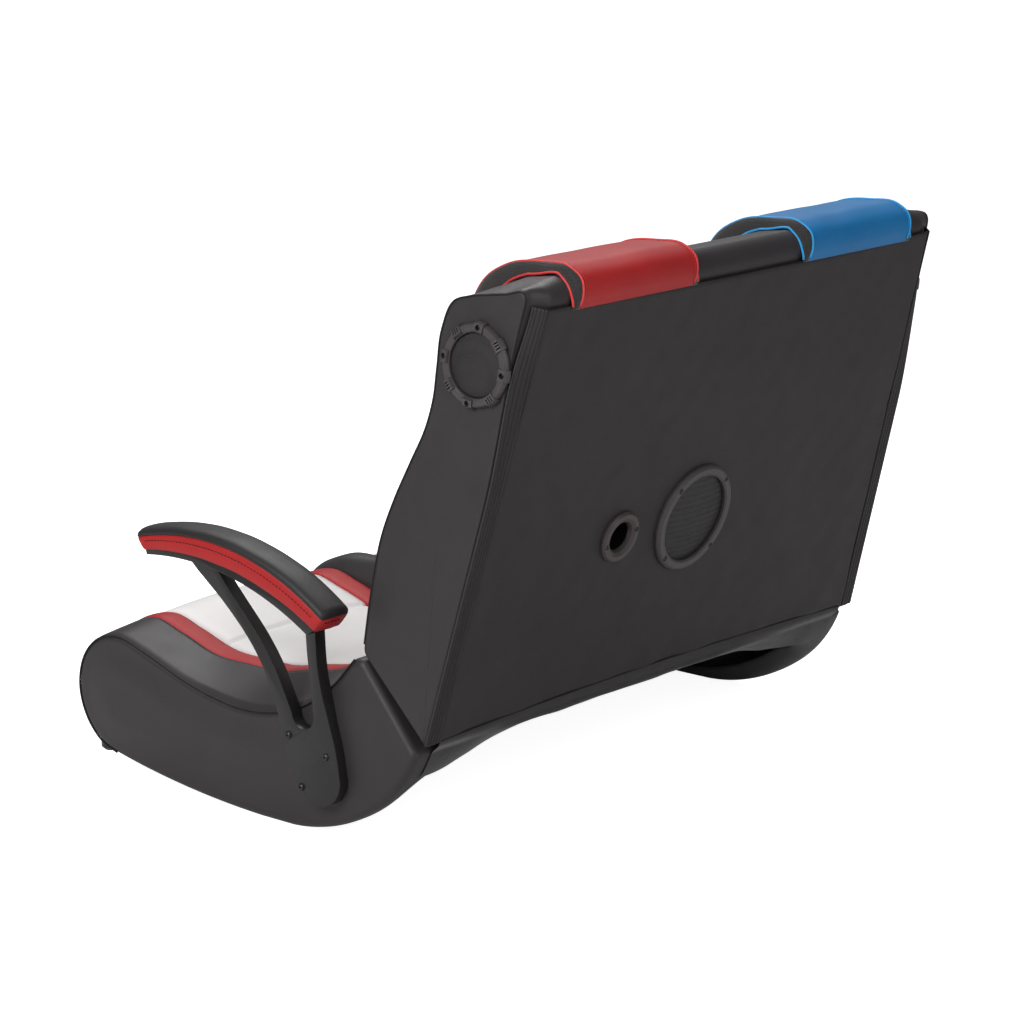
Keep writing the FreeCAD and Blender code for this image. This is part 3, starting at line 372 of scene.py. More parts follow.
def endBlock(sign, word):
    e = blockLook["edge"]
    half, inner = seatShape["half"], seatShape["inner"]
    rows = [atX(inner + 0.5, blockMiddle + s * (ringIn - blockMiddle))
            for s in (0.02, 0.5, 0.98)]
    for x in np.linspace(inner, half - e, 14):
        t = (x - inner) / (half - inner)
        r = inset(ringIn + t * (ringOut - ringIn), -blockLook["puff"] * math.sin(math.pi * t) * 0.6)
        rows.append(atX(x, r))
    edge = eased(inset(ringOut, e), 9)
    for a in np.radians([18, 36, 54, 72, 88]):
        r = ringOut + (edge - ringOut) * (1 - math.cos(a))
        rows.append(np.column_stack([np.full(300, half - e * (1 - math.sin(a))), r]))
    for s in np.concatenate([np.linspace(0.985, 0.6, 24), np.linspace(0.56, 0.02, 14)]):
        r = blockMiddle + s * (edge - blockMiddle)
        far = fromEdge(r, edge, 55)
        side = half + blockLook["swell"] * far
        side = side + 0.5 * waves(r[:, 0], r[:, 1], 170, 4) * far
        rows.append(np.column_stack([side, r]))
    p = np.stack(rows)
    low = unit(1 - (p[..., 2] - rocker(p[..., 1])) / 12) * unit((275 - p[..., 1]) / 60)
    inward = unit((blockLook["soleX"] - p[..., 0]) / (blockLook["soleX"] - inner))
    p[..., 2] += blockLook["undercut"] * low * inward**1.3
    p[..., 2] = np.maximum(p[..., 2], 0.2)
    piece = solidPiece("end_block_vinyl_" + word, sided(p, sign))
    onBody(piece, "seat", "black_leather", "end_block_" + word, fill=0.9)
    top = seatTop(0.0, 240)
    sink = blockLook["sink"]
    path = atX(sign * (half - sink), top - outwards(top, 120) * sink)
    onBody(tubePiece("end_piping_" + word, path, blockLook["piping"]), "seat", "black_leather")


for sign, word in sides:
    endBlock(sign, word)
print("end blocks done")


# A panel on a path: crowned between its seams, drawn in at them and at its cross channels, closed below.
# panelWay has each body's path as (a, b) points, what turns (x, a, b) into chair places, and a thickness.
def sewnPanel(name, body, x0, x1, rise, channels, seed, seamDraw=2.6, puff=0.7):
    way, place, thick = panelWay[body]
    count = len(way)
    half = (x1 - x0) / 2
    across = np.linspace(-1, 1, max(24, int(half / 6)))
    rise = np.reshape(rise, (-1, 1))
    n = normals2(way)
    t = lengths(way)
    fade = smoothStep(np.minimum(t, t[-1] - t) / (60 + 2.5 * rise.max()))
    s = across[None]
    seamGap = half * (1 - np.abs(s))
    high = rise * (1 - np.abs(s) ** 2.6) - seamDraw * bump(seamGap, 5.0)
    high = high * fade[:, None] - 0.4 * (1 - fade[:, None])
    for at in channels:
        gapTo = (t - at)[:, None]
        pucker = 1 + 0.25 * np.sin(s * half / 5.5 + seed)
        high -= 4.5 * bump(gapTo, 5) + 0.5 * pucker * bump(gapTo, 20)
        high += 0.8 * bump(gapTo, 40)
    x = (x0 + x1) / 2 + s * half
    uneven = waves(x * np.ones((count, 1)), t[:, None] * np.ones_like(s), 120, seed)
    high += puff * uneven * fade[:, None] * (1 - s**6)
    under = np.array([0.96, 0.4, -0.4, -0.96])
    xs = np.concatenate([across, under]) * half + (x0 + x1) / 2
    hs = np.concatenate([high, np.full((count, 4), -thick)], axis=1)
    a = way[:, None, 0] + n[:, None, 0] * hs
    b = way[:, None, 1] + n[:, None, 1] * hs
    p = place(np.stack([xs * np.ones_like(hs), a, b], axis=-1))
    piece = solidPiece(name, p)
    return piece


padLook = {"rise": 8.0, "stripeRise": 2.0, "dividerRise": 14.0, "console": 30.0, "seatThick": 11.0,
           "backThick": 5.0, "divider": 39.0, "inner": 84.0, "outer": 417.0, "side": seatShape["inner"],
           "crease": -245.0, "channels": (140, 290)}
topLine = seatTop(1.0, 190)
along = lengths(topLine)
creaseAt = float(np.interp(padLook["crease"], topLine[60:150, 0], along[60:150]))


# Makes a panel or a stripe between two seams on the left and its mirror on the right.
def bothSides(make, name, body, slot, node, seamIn, seamOut):
    x0, x1 = padLook[seamIn], padLook[seamOut]
    for sign, word in sides:
        lo, hi = (x0, x1) if sign > 0 else (-x1, -x0)
        piece = make(name + "_" + word, body, lo, hi, 3 + sign)
        slotName = slot[word] if isinstance(slot, dict) else slot
        onBody(piece, body, slotName, node + "_" + word)


def cushion(name, body, x0, x1, seed):
    return sewnPanel(name, body, x0, x1, padLook["rise"], creases[body], seed)


def stripe(name, body, x0, x1, seed, rise=padLook["stripeRise"]):
    return sewnPanel(name, body, x0, x1, rise, [], seed, 1.2, 0.3)


# White cushions and coloured stripes of one body, left and right.
def bodyPanels(word, body):
    stripeSlot = {"left": "red_leather", "right": "blue_leather"}
    bothSides(cushion, word + "_white_cushion", body, "white_leather", word + "_white", "inner", "outer")
    bothSides(stripe, word + "_stripe_inner", body, stripeSlot, word + "_stripes", "divider", "inner")
    bothSides(stripe, word + "_stripe_outer", body, stripeSlot, word + "_stripes", "outer", "side")


panelWay = {"seat": (topLine, lambda p: p, padLook["seatThick"])}
creases = {"seat": [creaseAt]}
bodyPanels("seat", "seat")
consoleRise = padLook["dividerRise"] + padLook["console"] * smoothStep((topLine[:, 0] + 400) / 130)
seatDivider = stripe("seat_divider_pad", "seat", -padLook["divider"], padLook["divider"], 9, consoleRise)
onBody(seatDivider, "seat", "black_leather", "seat_divider")
print("seat cushions done")

# Seat body under the panels: its closed outline swept across between the end blocks.
coreLook = {"sink": 12.4, "half": 459, "middle": [-60, 140], "leafRoom": 26}
sunk = topLine - outwards(topLine, 95) * coreLook["sink"]
splitWay = (splitPoint(1.0) - splitPoint(0.0)) / np.linalg.norm(splitPoint(1.0) - splitPoint(0.0))
hingeAt = np.array([seatShape["hinge"], hingeZ])
coreEnd = hingeAt + splitWay * seatShape["coreSplit"]
belly = smoothPath([sunk[0] + [3, -1], (-230, 72), (-60, 60), (110, 94), coreEnd + [-3, -4]], 60)
leafAt = hingeAt + splitWay * coreLook["leafRoom"]
coreRing = evenly(np.vstack([sunk, leafAt, coreEnd, belly[::-1], sunk[:1]]), 261)[:-1]
coreHalf = coreLook["half"]
capShares = [(coreHalf, 0.02), (coreHalf, 0.6), (coreHalf, 0.99), (coreHalf - 1, 1)]
coreSpots = [(-x, s) for x, s in capShares] + [(-200, 1), (200, 1)] + capShares[::-1]
coreRows = [atX(x, coreLook["middle"] + s * (coreRing - coreLook["middle"])) for x, s in coreSpots]
seatBody = solidPiece("seat_foam_body", np.stack(coreRows))
onBody(seatBody, "seat", "black_leather", "seat_core", fill=0.9)

# Dust cloth: the seat's arched underside, sagging a little between its staples.
dustLook = {"half": 458, "sag": 3.0, "uneven": 1.2, "clear": 1.4}
cx = np.linspace(-dustLook["half"], dustLook["half"], 90)[:, None]
ct = np.linspace(0, 1, 60)[None]
sag = dustLook["sag"] * np.sin(math.pi * ct) * (1 - (cx / dustLook["half"]) ** 4)
sag = sag + dustLook["uneven"] * waves(cx, ct * 560, 150, 12)
drop = dustLook["clear"] + np.maximum(sag, 0)
bn = -outwards(belly, 30)
cloth = np.stack([cx * np.ones_like(ct), belly[None, :, 0] + bn[None, :, 0] * drop,
                  belly[None, :, 1] + bn[None, :, 1] * drop], axis=-1)
dustCloth = gridPiece("dust_cloth", cloth)
onBody(dustCloth, "seat", "flap_cloth", "underside_cloth")
print("seat body and dust cloth done")

# Arms: band and top follow the CAD's arcs; each station is a closed section with soft corners.
armShape = {"seam": [(-252, 427), (-62, 441), (143, 361)], "low": [(-238, 408), (-62, 408), (126, 340)],
            "middle": 575.0, "half": 30.0,
            "bandX": [27, 29.3, 30.2, 30.6, 30.6, 30.1, 29, 26.5, 20, 0],
            "bandUp": [1.0, 0.97, 0.88, 0.7, 0.45, 0.22, 0.08, 0.0, 0.0, 0.0],
            "topX": [26, 29.8, 30.6, 30.4, 29.2, 26.2, 21, 13, 6, 0],
            "topUp": [0.2, 0.3, 1.2, 3.6, 6.6, 9.4, 11.7, 13.0, 13.4, 13.5]}


def arcThrough(three, count):
    (ax, ay), (bx, by), (cx2, cy) = three
    d = 2 * (ax * (by - cy) + bx * (cy - ay) + cx2 * (ay - by))
    ux = ((ax**2 + ay**2) * (by - cy) + (bx**2 + by**2) * (cy - ay) + (cx2**2 + cy**2) * (ay - by)) / d
    uy = ((ax**2 + ay**2) * (cx2 - bx) + (bx**2 + by**2) * (ax - cx2) + (cx2**2 + cy**2) * (bx - ax)) / d
    a0, a1 = math.atan2(ay - uy, ax - ux), math.atan2(cy - uy, cx2 - ux)
    a = np.linspace(a0, a1, count)
    r = math.hypot(ax - ux, ay - uy)
    return np.stack([ux + r * np.cos(a), uy + r * np.sin(a)], axis=1)


# Height of a rounded end, growing from 0 to 1 as t does.
def rounded(t):
    return np.sqrt(unit(1 - (1 - unit(t)) ** 2))


# Half of a section, mirrored to the other side; flip turns the sign of its x.
def wholeSection(spots, flip=-1):
    spots = np.array(spots)
    return np.concatenate([spots, flip * spots[-2::-1]])


def armPad(sign, word):
    colour = "red_pad" if sign > 0 else "blue_pad"
    count = 120
    high = arcThrough(armShape["seam"], count)
    low = arcThrough(armShape["low"], count)
    t = np.linspace(0, 1, count)
    ends = np.minimum(t, 1 - t) * np.linalg.norm(np.diff(high, axis=0), axis=1).sum()
    shrink = 1 - 0.09 * (1 - rounded(ends / 7))
    half = armShape["half"]
    xs, ws = wholeSection(armShape["bandX"]), wholeSection(armShape["bandUp"], 1)
    p = np.zeros((count, len(xs), 3))
    p[..., 0] = armShape["middle"] + xs[None] * shrink[:, None]
    span = high - low
    p[..., 1:] = low[:, None] + ws[None, :, None] * span[:, None]
    wide = np.abs(xs)[None] / half
    p[..., 0] += 0.35 * np.sign(xs)[None] * waves(t[:, None] * 400, ws[None] * 30, 55, 21) * wide
    band = solidPiece("arm_band_pad_" + word, sided(p, sign))
    onBody(band, "seat", colour, "arm_band_" + word, fill=0.9)
    n = outwards(high, 60)
    xs, hs = wholeSection(armShape["topX"]), wholeSection(armShape["topUp"], 1)
    fadeTop = rounded(ends / 9)
    q = np.zeros((count, len(xs), 3))
    q[..., 0] = armShape["middle"] + xs[None] * (1 - 0.1 * (1 - fadeTop[:, None]))
    lift = hs[None] * (0.25 + 0.75 * fadeTop[:, None])
    lift = lift + 0.35 * waves(t[:, None] * 400, xs[None], 90, 31) * (np.abs(xs) < 27)[None]
    q[..., 1:] = high[:, None] + n[:, None] * lift[..., None]
    top = solidPiece("arm_top_pad_" + word, sided(q, sign))
    onBody(top, "seat", "black_pad", "arm_top_" + word, fill=0.9)
    lineAt = low + 0.66 * span
    route = atX(armShape["middle"] + 30.9, lineAt)[4:-4]
    rear = np.zeros((20, 3)) + [armShape["middle"], *(lineAt[-1] + [0.9, -0.4])]
    rear[:, 0] += np.linspace(29, -29, 20)
    for k, way in enumerate((route, rear[3:-3])):
        line = stitchPiece(f"arm_stitch_{k}_{word}", sided(way, sign), 4.6, 7.0, 0.75)
        onBody(line, "seat", "black_pad")


for sign, word in sides:
    armPad(sign, word)
print("arm pads done")

# Backrest outline as (back, up) about the fold hinge, closed, starting at the crease and going up the front.
frontLine = smoothPath([(-0.93, 7.09)] + backShape["front"][1:], 180)
topRun = [(128, 630), (137.5, 631.2), (145.5, 628.5), (151, 622), (153, 612)]
lowRun = [(backShape["depth"], -backShape["tail"]), (6.29, -3.40), (1.42, 0.98)]
backRing = evenly(np.vstack([frontLine, smoothPath(topRun, 30), lowRun, frontLine[:1]]), 421)[:-1]
backMiddle = np.array([75.0, 280.0])
backFace = 156.6
shellLook = {"edge": 7.0, "swell": 1.2, "piping": 1.6, "panelSink": 6.0, "dome": 17.0, "pull": 16.0}
speaker = {"back": 80.0, "up": 500.0, "radius": 65.0, "mouth": 46.0}
coverLook = {"top": 611.0, "sag": 8.0, "low": -80.0, "arch": 11.0, "face": 159.8, "edge": 27.3,
             "half": 515, "subUp": 192.0, "subOpen": 81.0, "subFlat": 92, "portX": 184.5, "portUp": 195.0,
             "portOpen": 33.0, "portFlat": 44}


# x of a place on the tapered sides: nominal x beyond the panels follows the slant of the side face.
def slanted(x, up):
    inner = seatShape["inner"]
    beyond = np.abs(x) - inner
    full = backShape["half"] - inner
    real = inner + beyond * (halfAt(up) - inner) / full
    return np.where(beyond > 0, np.sign(x) * real, x)


# How far the side's rear edge lies forward of the rear face, most at the top.
def pulled(back, up):
    return shellLook["pull"] * smoothStep((up - 300) / 280) * unit((back - 100) / 55)


# How far the stuffed top rises over its outline.
def domed(back, up):
    return shellLook["dome"] * unit((up - 585) / 22) * unit((154 - back) / 34)


# Distances from the middles of the driver's and the port's openings.
def fromOpenings(x, up):
    return np.hypot(x, up - coverLook["subUp"]), np.hypot(x - coverLook["portX"], up - coverLook["portUp"])


def backShell():
    e = shellLook["edge"]
    half = backShape["half"]
    ringEdge = eased(inset(backRing, e), 6)
    rows = []
    for s in np.concatenate([[0.02], np.linspace(0.06, 0.985, 46)]):
        r = backMiddle + s * (ringEdge - backMiddle)
        far = fromEdge(r, ringEdge, 48)
        ring = np.hypot(r[:, 0] - speaker["back"], r[:, 1] - speaker["up"])
        free = smoothStep((ring - speaker["radius"] + 2) / 45)
        lift = shellLook["swell"] * far * free - 0.5 * (1 - free)
        lift += 0.25 * free * far * waves(r[:, 0], r[:, 1], 210, 8)
        lift -= 4.0 * unit((speaker["mouth"] + 3 - ring) / 5)
        rows.append(np.column_stack([slanted(half, r[:, 1]) + lift, r]))
    for a in np.radians([88, 72, 54, 36, 18, 0]):
        r = backRing + (ringEdge - backRing) * (1 - math.cos(a))
        rows.append(np.column_stack([slanted(half - e * (1 - math.sin(a)), r[:, 1]), r]))
    for x in np.linspace(half - e - 4, seatShape["inner"] + 2, 9):
        rows.append(np.column_stack([slanted(x, backRing[:, 1]), backRing]))
    front = (backRing[:, 0] < 45) & (backRing[:, 1] > 12) & (backRing[:, 1] < 592)
    sunkRing = inset(backRing, 0.0)
    sunkRing[front] = inset(backRing, shellLook["panelSink"])[front]
    rows += [atX(x, sunkRing) for x in np.linspace(459, 0, 24)]
    half1 = np.stack(rows)
    inside = unit((halfAt(half1[..., 2]) - half1[..., 0]) / 95)
    atSide = unit((half1[..., 0] - halfAt(half1[..., 2]) + 40) / 30)
    half1[..., 1] -= atSide * pulled(half1[..., 1], half1[..., 2])
    half1[..., 2] += domed(half1[..., 1], half1[..., 2]) * np.sin(inside * math.pi / 2)
    p = np.concatenate([half1, mirroredX(half1[-2::-1])])
    toPort = fromOpenings(p[..., 0], p[..., 2])[1]
    p[..., 1] -= 100 * unit((42 - toPort) / 8) * (p[..., 1] > 120)
    piece = solidPiece("back_shell", leaned(p))
    onBody(piece, "backrest", "black_leather", "back_side_left", "back_side_right", "back_core", fill=0.9)
    for sign, word in sides:
        run = evenly(np.vstack([frontLine[2:], smoothPath(topRun, 40), [(backFace, -80)]]), 400)
        x = slanted(half - 1.9, run[:, 1])
        run = run + 1.4 * outwards(run, 150, 0)
        path = leaned(np.column_stack([sign * x, run[:, 0] - pulled(run[:, 0], run[:, 1]), run[:, 1]]))
        onBody(tubePiece("back_piping_" + word, path, shellLook["piping"]), "backrest", "black_leather")


backShell()
print("backrest shell done")

# Panels on the backrest's front, between the crease and the top edge.
frontPath = evenly(smoothPath([(-1.6, 13)] + backShape["front"][1:-1] + [(24, 584)], 300), 170)
frontAlong = lengths(frontPath)
creases["backrest"] = [float(np.interp(u, frontPath[:, 1], frontAlong)) for u in padLook["channels"]]
panelWay["backrest"] = (frontPath, leaned, padLook["backThick"])
bodyPanels("back", "backrest")
backDivider = stripe("back_divider_pad", "backrest", -padLook["divider"], padLook["divider"], 5)
onBody(backDivider, "backrest", "black_leather", "back_divider")
print("backrest panels done")


# The rear cover's top seam hangs lower in its middle.
def seamSag(x):
    return coverLook["sag"] * (1 - (x / coverLook["half"]) ** 2)


# Its foot seam is arched the other way.
def footArch(x):
    return coverLook["arch"] * (1 - (x / coverLook["half"]) ** 2)


# One cloth stretched over the rear board, turned in at its edges, open at the driver and the port.
def rearCover():
    rows, cols = 190, 270
    share = np.linspace(0, 1, rows)[:, None]
    s = np.linspace(-1, 1, cols)[None]
    top = coverLook["top"] - seamSag(s * coverLook["half"])
    low = coverLook["low"] + footArch(s * coverLook["half"])
    u = low + share * (top - low)
    x = s * (halfAt(u) - coverLook["edge"])
    toEdge = np.minimum(halfAt(u) - coverLook["edge"] - np.abs(x), np.minimum(top - u, u - low))
    sub, port = fromOpenings(x, u)
    near = unit(np.minimum(sub - coverLook["subFlat"], port - coverLook["portFlat"]) / 60)
    v = coverLook["face"] + near * (0.9 * waves(x, u, 260, 41) + 0.35 * waves(x, 0.5 * u, 70, 43))
    pulls = bump(u - low, 60) * np.sin(x / 23 + 1.5 * np.sin(x / 90)) * 0.8
    v += near * (pulls + bump(top - u, 45) * np.sin(x / 31 + 2 * np.sin(x / 130)) * 0.5)
    v = np.maximum(v, coverLook["face"] - 1.2)
    turn = unit(1 - toEdge / 3.5)
    v -= 1.2 * turn * turn
    p = leaned(np.stack([x, v, u], axis=-1))
    return gridPiece("rear_cover_cloth", p, keepFace=coverKeep)


# True for face centres outside the driver's and the port's openings.
def coverKeep(centres):
    y, z = centres[:, 1] - seatShape["hinge"], centres[:, 2] - hingeZ
    up = y * math.sin(lean) + z * math.cos(lean)
    sub, port = fromOpenings(centres[:, 0], up)
    return (sub > coverLook["subOpen"]) & (port > coverLook["portOpen"])


cover = onBody(rearCover(), "backrest", "black_leather", "rear_cover")

# Strips along the cover's side edges: four sewn ridges and a thin piped edge, narrower at the top.
stripLook = {"width": 27.0, "low": -81.0, "top": 612.5, "face": 158.6, "ridge": 1.5, "count": 4,
             "narrow": 13}


def edgeStrip(sign, word):
    u = np.linspace(stripLook["low"], stripLook["top"], 200)[:, None]
    narrow = stripLook["narrow"] * smoothStep((u - 470) / 130)
    k = np.linspace(0, 1, 61)[None]
    wave = np.abs(np.sin(math.pi * stripLook["count"] * k)) ** 0.6
    back = pulled(stripLook["face"], u)
    v = stripLook["face"] + stripLook["ridge"] * wave + 0.25 * np.sin(u / 37 + k * 4) - back * (1 - k) ** 1.4
    under = np.array([[0.985, 0.5, 0.015]])
    x, xu = (halfAt(u) - 0.3 - (t * (stripLook["width"] - 0.6) + narrow * (1 - t)) for t in (k, under))
    vu = backFace - back * (1 - under) ** 1.4
    p = np.stack([np.hstack([x, xu]), np.hstack([v, vu]), u * np.ones((1, 64))], axis=-1)
    p[..., 0] *= sign
    piece = solidPiece("edge_strip_" + word, leaned(p))
    onBody(piece, "backrest", "black_leather", "edge_strips")
    u1 = u[:, 0]
    outer = halfAt(u1) + 0.2 - narrow[:, 0]
    path = leaned(np.column_stack([sign * outer, 157.8 - back[:, 0], u1]))
    onBody(tubePiece("strip_binding_" + word, path, 1.7), "backrest", "black_leather")


for sign, word in sides:
    edgeStrip(sign, word)
topX, footX = np.linspace(-484, 484, 240), np.linspace(-512, 512, 240)
for name, x, back, up, radius in (
        ("cover_top_seam", topX, 157.8, 612.4 - seamSag(topX), 1.3),
        ("cover_foot_seam", footX, 158.9, coverLook["low"] + 0.4 + footArch(footX), 1.5)):
    seamPath = np.column_stack([x, np.full(240, back), up])
    onBody(tubePiece(name, leaned(seamPath), radius), "backrest", "black_leather")
print("rear cover done")


# Loose flap under the backrest: hugs the seat's heel at its ends and bows forward in its middle.
def flapCloth():
    half, cols, rows = coverLook["half"], 240, 46
    s = np.linspace(-1, 1, cols)
    arch = smoothStep((0.97 - np.abs(s)) / np.where(s > 0, 0.42, 0.66))
    start = leaned(np.array([0, 157.9, -58.0]))[1:]
    corner = leaned(np.array([0, 158.2, -87.0]))[1:]
    heel = np.array([seatShape["heel"], float(rocker(seatShape["heel"]))])
    hug = heelArc(np.linspace(0.985, 0.60, 8), 2.4)
    lifted = corner + np.stack([np.linspace(-3, -36, 8), -8 - 13 * np.sin(np.linspace(0.2, 1.6, 8))], axis=1)
    p = np.zeros((cols, rows, 3))
    for k in range(cols):
        run = hug + arch[k] * (lifted - hug)
        p[k, :, 0] = s[k] * half
        p[k, :, 1:] = smoothPath(np.vstack([start, (start + corner) / 2, corner, run]), rows)
    depth = np.linspace(0, 1, rows)[None]
    x = p[..., 0]
    fan = np.sin((x - 470) / (16 + 26 * depth)) * depth**1.5 * 1.5 * arch[:, None]
    p[..., 2] += fan + 0.8 * waves(x, depth * 70, 80, 17) * depth
    p[..., 1] += waves(x, depth * 60, 60, 19) * depth * (1 - depth)
    piece = gridPiece("flap_cloth_sheet", p)
    onBody(piece, "backrest", "flap_cloth", "back_flap")


flapCloth()
print("flap done")

# Headrests: a pad wrapped over the top edge, with mesh gussets at its ends and piping on both edges of them.
headLook = {"inner": 134.5, "outer": 428.0, "gusset": 13.0, "binding": 1.9,
            "over": [(8, 450), (-25, 478), (-33, 530), (-19, 583), (22, 624), (80, 648), (128, 659),
                     (156, 649), (164, 628), (161.5, 606)],
            "base": [(10, 452), (3, 475), (1, 520), (4, 560), (38, 593), (82, 612), (122, 629), (146, 627),
                     (158, 614), (160.5, 605.5)]}
overFine = smoothPath(headLook["over"], 90)
overOut = outwards(overFine, 45)
baseFine = smoothPath(headLook["base"], 90)
baseFine[:, 1] += domed(baseFine[:, 0], baseFine[:, 1])


# Places of one closed section per x: share 1 is the full pad and 0 lies on the backrest.
def padSection(x, share, wrinkle=None):
    skin = baseFine[None] + share[:, None, None] * (overFine - baseFine)[None]
    if wrinkle is not None:
        skin = skin + overOut[None] * wrinkle[..., None]
    under = baseFine[::-3][None] * np.ones((len(x), 1, 1)) + [0.6, -0.8]
    loop = np.concatenate([skin, under], axis=1)
    return np.concatenate([np.ones(loop.shape[:2] + (1,)) * x[:, None, None], loop], axis=2)


def headrest(sign, word):
    colour = "red_leather" if sign > 0 else "blue_leather"
    low, high = headLook["inner"] + headLook["gusset"], headLook["outer"] - headLook["gusset"]
    s = np.linspace(-1, 1, 64)
    x = (low + high) / 2 + s * (high - low) / 2
    share = 0.93 + 0.075 * (1 - s * s) ** 0.7 - 0.02 * bump(1 - np.abs(s), 0.02)
    k = np.linspace(0, 1, 90)[None]
    calm = unit(np.minimum(k, 1 - k) * 8) * unit((1 - np.abs(s)) * 8)[:, None]
    wrinkle = calm * (0.9 * waves(x[:, None], k * 420, 130, 60 + sign) - 0.5)
    p = padSection(x, share, wrinkle)
    pad = solidPiece("headrest_pad_" + word, leaned(sided(p, sign)))
    onBody(pad, "backrest", colour, "headrest_" + word, fill=0.8)
    for end, (x0, x1) in enumerate(((low, headLook["inner"]), (high, headLook["outer"]))):
        t = np.linspace(0, 1, 12)
        gx = x0 + t * (x1 - x0)
        fall = 0.93 * np.cos(t * math.pi / 2) ** 0.8 + 0.03
        g = padSection(gx, fall)
        mesh = solidPiece(f"headrest_gusset_{end}_{word}", leaned(sided(g, sign)))
        onBody(mesh, "backrest", "mesh_fabric", "headrest_mesh")
        for name, at, sh in (("edge", x0, 0.95), ("base", x1, 0.07)):
            line = atX(at, baseFine + sh * (overFine - baseFine))[1:-1]
            tube = f"headrest_piping_{name}_{end}_{word}"
            onBody(tubePiece(tube, leaned(sided(line, sign)), headLook["binding"]), "backrest", colour)
        seamX = x0 + (5.5 if end == 0 else -5.5)
        onPad = baseFine + 0.957 * (overFine - baseFine) + overOut * 0.35
        stitchLine = atX(seamX, onPad)[4:-4]
        stitch = f"headrest_stitch_{end}_{word}"
        onBody(stitchPiece(stitch, leaned(sided(stitchLine, sign)), 3.2, 5.0, 0.5), "backrest", colour)


for sign, word in sides:
    headrest(sign, word)
print("headrests done")


# Driver's grille on the rear: a shallow dome of mesh behind the ring, with a rolled rim.
def subMesh():
    dome = np.linspace(0.2, 72, 26)
    r = np.concatenate([dome, [74.5, 75.5, 75.5, 74.5, 0.2]])
    h = np.concatenate([2.6 - 1.2 * (dome / 72) ** 2, [1.4, 0.9, 0.3, 0.2, 0.2]])
    a = np.linspace(0, 2 * math.pi, 96, endpoint=False)[None]
    p = np.stack([r[:, None] * np.cos(a), 160.2 + h[:, None] + 0 * a,
                  coverLook["subUp"] + r[:, None] * np.sin(a)], axis=-1)
    piece = solidPiece("subwoofer_mesh", leaned(p))
    onBody(piece, "backrest", "black_steel", "subwoofer_grille")


# Moulded parts: merged copies of CAD nodes with softened edges, turned in degrees about the speakers' axis.
def softCopy(source, name, body, slot, width, turn=0.0):
    piece = placed(name, frame["nodes"][source].data.copy())
    bm = bmesh.new()
    bm.from_mesh(piece.data)
    if turn:
        axisAt = leaned(np.array([0, speaker["back"], speaker["up"]])) * mm + [0, shiftY * mm, 0]
        bmesh.ops.rotate(bm, verts=bm.verts, cent=axisAt, matrix=Matrix.Rotation(math.radians(turn), 3, "X"))
    bmesh.ops.remove_doubles(bm, verts=bm.verts, dist=2e-5)
    bmesh.ops.dissolve_limit(bm, angle_limit=math.radians(1.5), verts=bm.verts, edges=bm.edges)
    bm.to_mesh(piece.data)
    bm.free()
    smoothed(piece)
    soft = piece.modifiers.new("soft edges", "BEVEL")
    soft.width, soft.segments, soft.limit_method, soft.angle_limit = width, 3, "ANGLE", math.radians(38)
    onBody(piece, body, slot, source)


subMesh()
softLook = {"arm": 0.0026, "ring": 0.0007, "screws": 0.0002, "turn": 22.0}
for sign, word in sides:
    softCopy("arm_frame_" + word, "arm_moulding_" + word, "seat", "black_plastic", softLook["arm"])
for sign, word in sides:
    softCopy("speaker_ring_" + word, "speaker_moulding_" + word, "backrest", "black_plastic",
             softLook["ring"], softLook["turn"])
softCopy("speaker_screws", "speaker_screw_heads", "backrest", "black_steel",
         softLook["screws"], softLook["turn"])
print("grille and moulded parts done")


# One value or link in a material's node tree; the operators add its Math nodes.
class Flow:
    tree = None

    def __init__(self, socket):
        self.socket = socket

    @classmethod
    def add(cls, kind, settings=None, inputs=None, output=0):
        node = cls.tree.nodes.new(kind)
        for key, value in (settings or {}).items():
            setattr(node, key, value)
        for key, value in (inputs or {}).items():
            cls.join(node.inputs[key], value)
        return cls(node.outputs[output])

    @classmethod
    def join(cls, socket, value):
        if isinstance(value, Flow):
            cls.tree.links.new(value.socket, socket)
        else:
            socket.default_value = value

    @classmethod
    def math(cls, operation, *values):
        return cls.add("ShaderNodeMath", {"operation": operation}, dict(enumerate(values)))

    @classmethod
    def blendColour(cls, factor, a, b):
        return cls.add("ShaderNodeMix", {"data_type": "RGBA"}, {0: factor, 6: a, 7: b}, 2)

    def __add__(self, other):
        return Flow.math("ADD", self, other)

    def __sub__(self, other):
        return Flow.math("SUBTRACT", self, other)

    def __rsub__(self, other):
        return Flow.math("SUBTRACT", other, self)

    def __mul__(self, other):
        return Flow.math("MULTIPLY", self, other)

    def __pow__(self, other):
        return Flow.math("POWER", self, other)

    __radd__ = __add__
    __rmul__ = __mul__


# New material with its shader's fixed settings and the place that its textures are read at.
def newMaterial(name, fixed):
    material = bpy.data.materials.new(name)
    material.use_nodes = True
    Flow.tree = material.node_tree
    shader = material.node_tree.nodes["Principled BSDF"]
    for key, value in fixed.items():
        shader.inputs[key].default_value = value
    return material, shader, Flow.add("ShaderNodeTexCoord", output=3)


def noise(place, scale, detail=2.0, rough=0.5):
    settings = {"Vector": place, "Scale": scale, "Detail": detail, "Roughness": rough}
    return Flow.add("ShaderNodeTexNoise", {}, settings)


def bumped(height, strength, distance, **more):
    settings = {"Strength": strength, "Distance": distance, "Height": height}
    return Flow.add("ShaderNodeBump", {}, {**settings, **more})


# Voronoi cells of a size; randomness 0 puts them on a square grid.
def cellGrid(place, size, randomness, feature="F1"):
    settings = {"Vector": place, "Scale": 1 / size, "Randomness": randomness}
    return Flow.add("ShaderNodeTexVoronoi", {"feature": feature}, settings)


